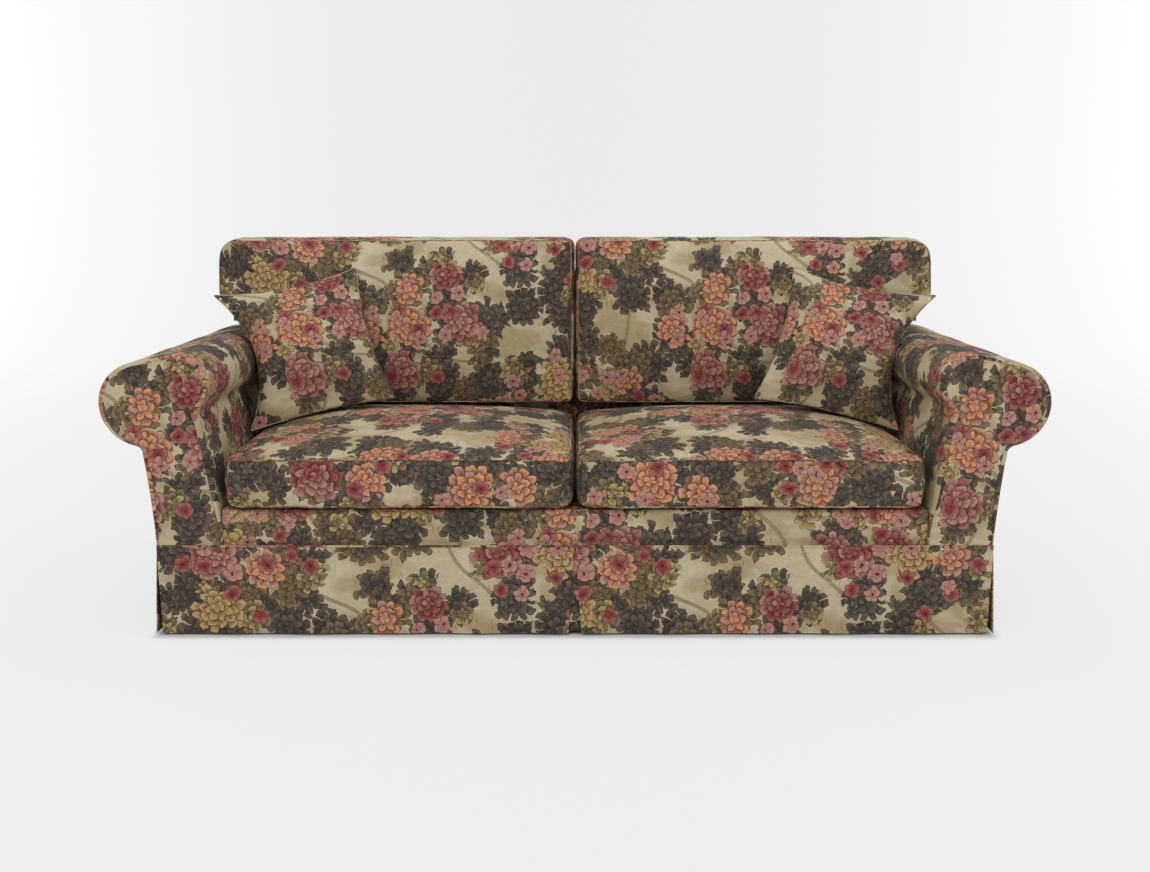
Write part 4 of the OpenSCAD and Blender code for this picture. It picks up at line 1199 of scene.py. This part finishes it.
def make_back_cushion():
    """The right back cushion's cover and its fibre."""
    s = settings("cushions")
    obj, uvw = boxed("back_cushion_right", 54, 34, 5)
    put_points(obj, back_shape(uvw, s.soft_edge))
    outward(obj)
    held, behind = seam_groups(uvw)
    foot = np.flatnonzero(uvw[:, 1] < -0.999)
    puff(obj, np.unique(np.r_[held, behind, foot]), s.swell_cap, s.pressure)
    edge = ramp((np.maximum(abs(uvw[:, 0]), abs(uvw[:, 1])) - 0.86) / 0.14)
    front, rear = points(obj)[:, 1].min(), points(obj)[:, 1].max()
    low, high = (MIDDLE, front, BACK_LOW + 0.016), (BACK[1].x + 0.006, rear, BACK_HIGH - 0.003)
    co = soften(obj, edge * 0.5, 4, low, high)
    lay_cushion(obj, uvw, co, (0, -1, 0), BACK_PRINT, 2)
    rims = [rim_order(uvw, 1.0), rim_order(uvw, -1.0)]
    return on_its_side(finish_cushion(obj, rims, 0.06, 0.055))


def scatter_place(local):
    """Moves points from a cushion lying flat to its place in the corner of the arm."""

    def turned(a, b, angle):
        c, s = math.cos(angle), math.sin(angle)
        return c * a - s * b, s * a + c * b

    x, y, z = local.T
    x, y = turned(x, y, -SCATTER_TILT)
    y, z = turned(y, z, math.pi / 2 - SCATTER_LEAN)
    x, y = turned(x, y, -SCATTER_TURN)
    high = BACK_LOW + SCATTER_UP
    return np.c_[x + SEAT_HALF - SCATTER_IN, y + back_y(high) - SCATTER_REACH, z + high]


def scatter_shape(uvw):
    u, v, w = uvw.T
    a = SCATTER_W / 2
    draw = SCATTER_DRAW / a
    x = a * u * (1 - draw * (1 - v * v)) - np.where(u > 0, SCATTER_PINCH * u * u * (1 - v * v), 0)
    y = a * v * (1 - draw * (1 - u * u)) - np.where(v < 0, SCATTER_SAG * v * v * (1 - u * u), 0)
    return np.c_[x, y, w * SCATTER_T / 2 * swell(u, v, 2.0) ** 0.7]


def make_scatter_cushion():
    """The right scatter cushion's cover and its fibre."""
    s = settings("cushions")
    obj, uvw = boxed("scatter_cushion_right", 44, 44, 0)
    flat = scatter_shape(uvw)
    put_points(obj, flat)
    spread = both_panels(uvw, flat, SCATTER_PRINT, 1)
    lay(obj, lambda c, v, f: spread[v])
    ring = flat[rim_order(uvw, 1.0)]
    weld(obj, 0.0004)
    now = points(obj)
    held = np.flatnonzero(np.abs(now[:, 2]) < 1e-5)
    rim = np.array([held[np.argmin(np.linalg.norm(now[held] - q, axis=1))] for q in ring])
    puff(obj, held, s.swell_cap, s.pressure * 1.3)
    crease(obj, ring, SCATTER_CREASE, 0.10, 0.10)
    obj, core = finish_cushion(obj, [rim], 0.045, 0.09)
    co = points(obj)[:len(core.data.vertices)]
    put_points(core, co * SCATTER_CORE)
    for piece in (obj, core):
        put_points(piece, scatter_place(points(piece)))
    return obj, core


# Zips

ZIP_HALF, ZIP_WIDE, TOOTH, COIL_R = 0.3, 0.0098, 0.0019, 0.0008
SEAT_ZIP, BACK_ZIP = (SEAT_MID.x, 0.26, 0.380), (SEAT_MID.x + 0.002, 0.217, 0.47)


def make_zip(cover, name, middle, into, across):
    """A coil zip with its slider, laid along X on a cover: found from middle by looking along into."""
    steps, teeth = 60, 420
    into, across = Vector(into), Vector(across)
    bpy.context.view_layer.update()
    line = []
    for k in range(steps + 1):
        start = Vector(middle) + Vector((-ZIP_HALF + 2 * ZIP_HALF / steps * k, 0, 0)) - into * 0.1
        line.append(cover.ray_cast(start, into)[1] - into * 0.0006)
    line = np.array(line)
    tape = grid("zip_tape", steps, 4)
    u, v, _ = points(tape).T
    put_points(tape, line[row(u, steps)] + np.outer(v - 0.5, across) * ZIP_WIDE)
    apply(tape, "SOLIDIFY", thickness=0.001, offset=0)
    coil, _ = even(line, teeth)
    coil += np.outer(np.where(np.arange(teeth + 1) % 2, TOOTH, -TOOTH), across) - np.array(into) * 0.0013
    parts = [tape, tube("zip_coil", coil, COIL_R, False, 4)]
    slider = (0.011, 0.0080, 0.0042), -0.262, 0.0020
    pull = (0.024, 0.0056, 0.0012), -0.244, 0.0046
    for (long, wide, high), along, up in (slider, pull):
        deselect()
        bpy.ops.mesh.primitive_cube_add(size=1)
        part = bpy.context.object
        part.data.transform(Matrix((
            (long, 0, 0, 0), (0, across.y * wide, -into.y * high, 0),
            (0, across.z * wide, -into.z * high, 0), (0, 0, 0, 1))))
        part.data.transform(Matrix.Translation(Vector(line[steps // 2]) + Vector((along, 0, 0)) - into * up))
        parts.append(apply(part, "BEVEL", width=0.0005, segments=2))
    return smooth(outward(join(parts, name)), 40)


# Fixed upholstery

WING_LOW, WING_IN, CHEEK_LOW, WING_PRINT = 0.7005, SEAT_HALF + 0.005, 0.60, 0.39
BACK_ROUND, BACK_SAG, LEDGE, BORDER_ROUND = 0.008, 0.0025, 0.0032, 0.010
PANEL_PRINT, REAR_PRINT, PRINT_LOW = 0.43, 0.37, -0.06
PLEAT, PLEAT_IN, PIPING_R, PIPING_BEND = 0.07, 0.0073, 0.0026, 0.012


def refined(path, step):
    """A line with every corner kept and its long runs cut to the step."""
    out = [path[:1]]
    for a, b in zip(path[:-1], path[1:]):
        n = max(1, math.ceil(np.linalg.norm(b - a) / step))
        out.append(a + (b - a) * (np.arange(1, n + 1) / n)[:, None])
    out = np.vstack(out)
    return out, run_along(out)


def strip(name, profile, x0, x1, nx, rows=0, v0=0.0):
    """A cloth from x0 to x1 over a line of (y, z) points, in even rows or with the line's corners kept."""
    profile = np.array(profile, float)
    path, run = even(profile, rows) if rows else refined(profile, 0.018)
    obj = grid(name, nx, len(path) - 1)
    u, v, _ = points(obj).T
    j = row(v, len(path) - 1)
    put_points(obj, np.c_[blend(x0, x1, u), path[j, 0], path[j, 1]])
    return lay(obj, lambda c, v, f: np.c_[c[:, 0], run[j[v]] + v0])


def skirt_panel(name, columns, place, along, print_u, out, phase, folds, turned=False):
    """A hanging panel: place(u, down) gives x and y; the hem waves and the cloth has its thickness."""
    panel = drawn(name, columns, 16, lambda u, v: (*place(u, 1 - v), SEAM_Z - SKIRT_DROP * (1 - v)))
    lay_flat(panel, along, (0, 0, 1), (print_u, 0, PRINT_LOW))
    if turned:
        flip(panel)
    co = points(panel)
    down = (SEAM_Z - co[:, 2]) / SKIRT_DROP
    length = co @ np.abs(along)
    share = (length - length.min()) / (length.max() - length.min())
    wave = np.sin(share * TURN * folds + phase) + 0.5 * ripple(co, 0.4, phase)
    co += np.outer(down ** 1.3 * settings("skirt").wave * (wave * 0.6 + 0.4), out)
    co[:, 0] = np.minimum(co[:, 0], SKIRT_S[1].x + 0.003)
    put_points(panel, co)
    return thicken(panel)


def pleat_folds():
    """The cloth behind the openings: a strip at the middle and an angle at each corner."""
    low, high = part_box("pleat_inserts")
    edge = STEM_OUT - PLEAT_IN
    lines = [[(-PLEAT, low.y), (PLEAT, low.y)]]
    for side in (-1, 1):
        for y, inward in ((low.y, PLEAT), (high.y, -PLEAT)):
            lines.append([(side * (edge - PLEAT), y), (side * edge, y), (side * edge, y + inward)])
    folds = []
    for line in lines:
        path, run = even(np.array(line, float), 14)
        fold = grid("pleat_fold", 14, 10)
        u, v, _ = points(fold).T
        j = row(u, 14)
        put_points(fold, np.c_[path[j], blend(low.z, SEAM_Z, v)])
        lay(fold, lambda c, v, f: np.c_[run[j[v]] + STRIP_PRINT, c[:, 2] - PRINT_LOW])
        folds.append(apply(fold, "SOLIDIFY", thickness=CLOTH, offset=0))
    pleats = join(folds, "pleat_folds")
    co = points(pleats)
    co[:, 1] += np.where(co[:, 1] < 0, 0.0018, -0.0018)
    put_points(pleats, co)
    dress(smooth(pleats, 50), "frame", "pleat_inserts")


def seam_piping():
    """The piping round the skirt's seam, its print carried on from the panels."""
    x, y0, y1 = SEAM[1].x - SEAM_R, SEAM[0].y + SEAM_R, SEAM[1].y - SEAM_R
    bend = PIPING_BEND
    ring = []
    for quarter, (cx, cy) in enumerate((
            (x - bend, y1 - bend), (bend - x, y1 - bend), (bend - x, y0 + bend), (x - bend, y0 + bend))):
        ring += arc(cx, cy, bend, quarter * math.pi / 2, (quarter + 1) * math.pi / 2)
    ring = spaced(np.c_[ring, np.full(len(ring), SEAM_Z)], 0.02)
    piping = tube("skirt_seam_piping", ring, PIPING_R, True)

    def like_skirt(c, v, f):
        count = np.bincount(f)
        beside = (np.abs(np.bincount(f, c[:, 0]) / count) > x - bend)[f]
        behind = (np.bincount(f, c[:, 1]) / count > 0)[f]
        u = np.where(behind, REAR_PRINT - c[:, 0], np.abs(c[:, 0]) - PANEL_PRINT)
        return np.c_[np.where(beside, c[:, 1], u), c[:, 2] - PRINT_LOW]

    lay(piping, like_skirt)
    dress(piping, "frame", "skirt_piping")


# The camera: its lens in millimetres, its place and how many degrees it looks down

CAMERA_LENS, CAMERA_PLACE, CAMERA_DOWN = 39.13, (0, -3.4064, 1.0553), 10.69


class SOFA_OT_stage(bpy.types.Operator):
    """Adds the backdrop, the lamps and the camera"""
    bl_idname = "sofa.stage"
    bl_label = "Stage"

    def execute(self, context):
        s = settings("stage")
        depth, radius, height = 4.2, 1.6, 9.0
        profile = [(-9.0, 0.0), (depth, 0.0)] + arc(depth, radius, radius, -math.pi / 2, 0, 14)[1:]
        floor = strip("backdrop", profile + [(depth + radius, height)], -14, 14, 2, 90)
        smooth(floor)
        material, p = new_material("backdrop_paper")
        where = p.put("ShaderNodeTexCoord").outputs["Object"]
        x, y = p.parts(where)
        # Painted light: the backdrop's colour and its glow grow lighter towards the sides
        painted_side_light = x * x * 0.06
        colour = p.mix(painted_side_light.least(1.0), s.ground, (0.96, 0.96, 0.96))
        lit = p.put("ShaderNodeBsdfDiffuse", {0: colour})
        shown = p.put("ShaderNodeEmission", {0: colour, "Strength": painted_side_light.least(1.0) * 0.16 + 1.0})
        rays = p.put("ShaderNodeLightPath").outputs
        kinds = "Camera", "Glossy", "Transmission"
        straight, glossy, clear = (p.wire(rays[f"Is {kind} Ray"]) for kind in kinds)
        seen = straight.most(glossy).most(clear)
        # Painted contact shade: near the sofa's footprint and under it the glow is taken away, so the floor
        # there shows only its rendered light and is darker round the hem
        beside = ((abs(x) - STEM_OUT).most(0.0) ** 2.0 + (abs(y) - Y_REAR).most(0.0) ** 2.0) ** 0.5
        share = seen * beside.step(0.0, 0.035) * 0.80
        p.finish(p.put("ShaderNodeMixShader", {0: share, 1: lit.outputs[0], 2: shown.outputs[0]}))
        floor.data.materials.append(material)

        world = bpy.data.worlds.new("even_light")
        context.scene.world = world
        world.use_nodes = True
        world.node_tree.nodes["Background"].inputs[0].default_value = (1, 1, 1, 1)
        world.node_tree.nodes["Background"].inputs[1].default_value = s.sky

        for name, place, aim, size, power in (
                ("front_lamp", (-1.6, -4.2, 3.6), (0, 0, 0.4), 3.2, s.key),
                ("fill_lamp", (3.4, -3.0, 2.4), (0, 0, 0.5), 2.6, s.key * 0.35),
                ("top_lamp", (0.4, 0.6, 3.6), (0, 0, 0.3), 2.8, s.key * 0.55)):
            data = bpy.data.lights.new(name, "AREA")
            data.shape = "DISK"
            data.size = size
            data.energy = power
            lamp = bpy.data.objects.new(name, data)
            context.scene.collection.objects.link(lamp)
            lamp.location = place
            lamp.rotation_euler = (Vector(place) - Vector(aim)).to_track_quat("Z", "Y").to_euler()

        camera_data = bpy.data.cameras.new("camera")
        camera = bpy.data.objects.new("camera", camera_data)
        context.scene.collection.objects.link(camera)
        camera_data.lens = CAMERA_LENS
        camera_data.sensor_width = 36.0
        camera.location = CAMERA_PLACE
        camera.rotation_euler = (math.radians(90 - CAMERA_DOWN), 0, 0)
        context.scene.camera = camera
        context.scene.view_settings.view_transform = "Standard"
        return {"FINISHED"}


class SOFA_OT_frame_finish(bpy.types.Operator):
    """Gives the timber, steel, foam and other inner pieces their materials"""
    bl_idname = "sofa.frame_finish"
    bl_label = "Frame Finishes"

    def execute(self, context):
        made = {slot: plain_material(*look) for slot, look in INNER_LOOKS.items()}
        made["print_fabric"] = cloth()
        for part in frame["record"]["subparts"]:
            materials = NODES[part["node"]].data.materials
            materials.clear()
            materials.append(made[part["material_slot"]])
        return {"FINISHED"}


class SOFA_OT_arms(bpy.types.Operator):
    """Models the arm covers and the front panels with their sunk edges"""
    bl_idname = "sofa.arms"
    bl_label = "Arms"

    def execute(self, context):
        cover, front = make_arm()
        padded_pair(cover, "frame", "arm_cover_right")
        padded_pair(front, "frame", "arm_front_panel_right")
        return {"FINISHED"}


class SOFA_OT_back(bpy.types.Operator):
    """Models the padded back's inside and outside covers"""
    bl_idname = "sofa.back"
    bl_label = "Back Covers"

    def execute(self, context):
        top, r, half = BACK_REST[1].z, BACK_ROUND, SEAT_HALF - 0.0005
        rear = Y_REAR - 0.004
        over = arc(back_y(top) + r, top - r, r, math.radians(170), math.pi / 2)
        over += arc(rear - r, top - r, r, math.pi / 2, 0.0)
        lower = strip("back_lower", [(back_y(DECK_Z), DECK_Z)] + over + [(rear, 0.72)], -half, half, 80)
        co = points(lower)
        reach = np.where(co[:, 2] < ARM_TOP, arm_reach(co[:, 2]) + 0.001, WING_IN)
        beside = (co[:, 1] < back_y(co[:, 2]) + 0.001) & (co[:, 2] < WING_LOW)
        co[:, 0] *= np.where(beside, reach / SEAT_HALF, 1)
        put_points(lower, co)
        parts = [lower]

        def cap_end(u, v):
            j = row(v, 16)
            bend = np.clip(j - 8, 0, 8) * math.pi / 16
            z = WING_LOW + (top - r - WING_LOW) * np.minimum(j, 8) / 8 + r * np.sin(bend)
            inward = r * (1 - np.cos(bend))
            return s * STEM_OUT, blend(back_y(z) + inward, rear - inward, u), z

        def below(u, v):
            return s * blend(WING_IN, STEM_OUT, u), blend(back_y(WING_LOW), rear, v), WING_LOW

        def cheek(u, v):
            z = blend(CHEEK_LOW, WING_LOW, v)
            return s * WING_IN, blend(back_y(z), rear, u), z

        for s in (-1, 1):
            high = [(back_y(WING_LOW), WING_LOW)] + over + [(rear, WING_LOW)]
            parts += [
                strip("back_wing", high, *sorted((s * half, s * STEM_OUT)), 14, v0=WING_PRINT),
                lay_flat(drawn("back_cap", 10, 16, cap_end), (0, 1, 0), (0, 0, 1)),
                lay_flat(drawn("back_under", 6, 6, below), (1, 0, 0), (0, 1, 0)),
                lay_flat(drawn("back_cheek", 6, 6, cheek), (0, 1, 0), (0, 0, 1))]
        inside = join(parts, "back_inside")
        weld(inside, 0.0006)
        smooth(outward(inside), 45)
        dress(inside, "frame", "inside_back_cover")

        rise, wing = np.linspace(SEAM_Z, ARM_TOP - 0.001, 44), np.linspace(WING_LOW, top - r, 8)
        heights = np.r_[rise, wing]
        halves = np.r_[arm_reach(rise) + 0.004, np.full(8, STEM_OUT + 0.0006)]
        last = len(heights) - 1
        outside = drawn("back_outside", 60, last, lambda u, v: (
            (2 * u - 1) * halves[row(v, last)], Y_REAR, heights[row(v, last)]))
        flip(outside)
        lay_flat(outside, (-1, 0, 0), (0, 0, 1))
        co = points(outside)
        sag = np.clip(swell(co[:, 0] / 0.9, (co[:, 2] - 0.54) / 0.32, 2.0), 0, 1)
        co[:, 1] -= sag * (BACK_SAG + 0.0008 * ripple(co, 0.35, 6.0))
        put_points(outside, co)
        smooth(apply(outside, "SOLIDIFY", thickness=CLOTH, offset=-1), 45)
        dress(outside, "frame", "outside_back_cover")
        return {"FINISHED"}


class SOFA_OT_seat_base(bpy.types.Operator):
    """Models the deck, the front border and the dust cover"""
    bl_idname = "sofa.seat_base"
    bl_label = "Seat Base"

    def execute(self, context):
        x, front, r = SEAT_HALF - 0.0003, BORDER[0].y, BORDER_ROUND
        profile = [(Y_FRONT + LEDGE, SEAM_Z), (front, SEAM_Z + 0.001)]
        profile += arc(front + r, DECK_Z - r, r, math.pi, math.pi / 2) + [(BORDER[1].y, DECK_Z)]
        border = strip("front_border_cover", profile, -x - 0.002, x + 0.002, 150, 40, 0.005)
        co = points(border)
        face = ramp((co[:, 2] - SEAM_Z) / 0.02) * ramp((DECK_Z - 0.004 - co[:, 2]) / 0.02)
        co[:, 1] -= 0.0015 * face * (1 + ripple(co, 0.12, 3.0))
        put_points(border, co)
        dress(thicken(border), "frame", "front_border")

        deck = strip("deck_cover", [(DECK[0].y, DECK_Z), (DECK[1].y, DECK_Z)], -x, x, 90, 36)
        co = points(deck)
        co[:, 2] -= 0.0012 * swell(co[:, 0] / x, (co[:, 1] + 0.07) / 0.34, 2.0) * (1 + ripple(co, 0.25, 5.0))
        put_points(deck, co)
        dress(thicken(deck), "frame", "seat_deck")

        low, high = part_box("dust_cover")
        dust = strip("dust_sheet", [(low.y, high.z), (high.y, high.z)], low.x, high.x, 120, 50)
        co = points(dust)
        span = swell(co[:, 1] / (high.y - 0.03), np.abs(co[:, 0]) / high.x * 2 - 1, 2.0)
        co[:, 2] -= 0.006 * np.clip(span, 0, 1) * (1 + 0.3 * ripple(co, 0.2, 7.0))
        put_points(dust, co)
        dress(thicken(dust, 0.001, 1), "frame", "dust_cover", slot="dust_cloth")
        return {"FINISHED"}


class SOFA_OT_skirt(bpy.types.Operator):
    """Models the skirt's panels, the pleat inserts and the seam piping"""
    bl_idname = "sofa.skirt"
    bl_label = "Skirt"

    def execute(self, context):
        front = skirt_panel(
            "skirt_panel_right", 90,
            lambda u, down: (blend(0.002 + 0.014 * down, STEM_OUT - 0.004 * down, u), Y_FRONT),
            (1, 0, 0), PANEL_PRINT, (0, -1, 0), 0.6, settings("skirt").folds)
        for obj in pair(front, "frame", "skirt_front_right").values():
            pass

        y0, y1 = SKIRT_S[0].y, SKIRT_S[1].y
        end = skirt_panel(
            "skirt_end_right", 50,
            lambda u, down: (blend(STEM_OUT, SKIRT_S[1].x, down), blend(y0, y1, u)),
            (0, 1, 0), 0, (1, 0, 0), 1.4, 3)
        for side, obj in pair(end, "frame", "skirt_side_right").items():
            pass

        rear = skirt_panel(
            "skirt_rear", 120, lambda u, down: ((2 * u - 1) * (STEM_OUT - 0.004 * down), Y_REAR),
            (-1, 0, 0), REAR_PRINT, (0, 1, 0), 0.2, 9, True)
        dress(rear, "frame", "skirt_back")

        pleat_folds()
        seam_piping()
        return {"FINISHED"}


class SOFA_OT_seat_cushions(bpy.types.Operator):
    """Models the two seat cushions and their foam"""
    bl_idname = "sofa.seat_cushions"
    bl_label = "Seat Cushions"

    def execute(self, context):
        cover, core = make_seat_cushion()
        fastener = make_zip(cover, "seat_zip_right", SEAT_ZIP, (0, -1, 0), (0, 0, 1))
        pair(fastener, "seat_right", "seat_zip_right", "zip")
        padded_pair(cover, "seat_right", "seat_cover_right")
        padded_pair(core, "seat_right", "seat_filling_right", "foam")
        return {"FINISHED"}


class SOFA_OT_back_cushions(bpy.types.Operator):
    """Models the two back cushions and their fibre"""
    bl_idname = "sofa.back_cushions"
    bl_label = "Back Cushions"

    def execute(self, context):
        cover, core = make_back_cushion()
        fastener = make_zip(cover, "back_zip_right", BACK_ZIP, (0, 0, 1), (0, 1, 0))
        pair(fastener, "back_cushion_right", "back_zip_right", "zip")
        padded_pair(cover, "back_cushion_right", "back_cushion_cover_right")
        padded_pair(core, "back_cushion_right", "back_filling_right", "fibre")
        return {"FINISHED"}


class SOFA_OT_scatter_cushions(bpy.types.Operator):
    """Models the two scatter cushions and their fibre"""
    bl_idname = "sofa.scatter_cushions"
    bl_label = "Scatter Cushions"

    def execute(self, context):
        cover, core = make_scatter_cushion()
        padded_pair(cover, "scatter_right", "scatter_cover_right")
        padded_pair(core, "scatter_right", "scatter_filling_right", "fibre")
        return {"FINISHED"}


class SOFA_PT_panel(bpy.types.Panel):
    bl_label = "Sofa"
    bl_idname = "SOFA_PT_panel"
    bl_space_type = "VIEW_3D"
    bl_region_type = "UI"
    bl_category = "Sofa"

    def draw(self, context):
        for kind, group_class in SETTINGS.items():
            box = self.layout.box()
            box.label(text=kind.title())
            for key in group_class.__annotations__:
                box.prop(settings(kind), key)
        for step in STEPS:
            self.layout.operator(step.bl_idname)


STEPS = (SOFA_OT_stage, SOFA_OT_frame_finish, SOFA_OT_arms, SOFA_OT_back, SOFA_OT_seat_base, SOFA_OT_skirt,
         SOFA_OT_seat_cushions, SOFA_OT_back_cushions, SOFA_OT_scatter_cushions)
CLASSES = (*SETTINGS.values(), *STEPS, SOFA_PT_panel)


def register():
    for item in CLASSES:
        bpy.utils.register_class(item)
    for kind, group_class in SETTINGS.items():
        setattr(bpy.types.Scene, "sofa_" + kind, PointerProperty(type=group_class))


def unregister():
    for kind in SETTINGS:
        delattr(bpy.types.Scene, "sofa_" + kind)
    for item in reversed(CLASSES):
        bpy.utils.unregister_class(item)


def main():
    register()
    for step in STEPS:
        prefix, name = step.bl_idname.split(".")
        getattr(getattr(bpy.ops, prefix), name)()
    deselect()


if __name__ == "__main__":
    main()
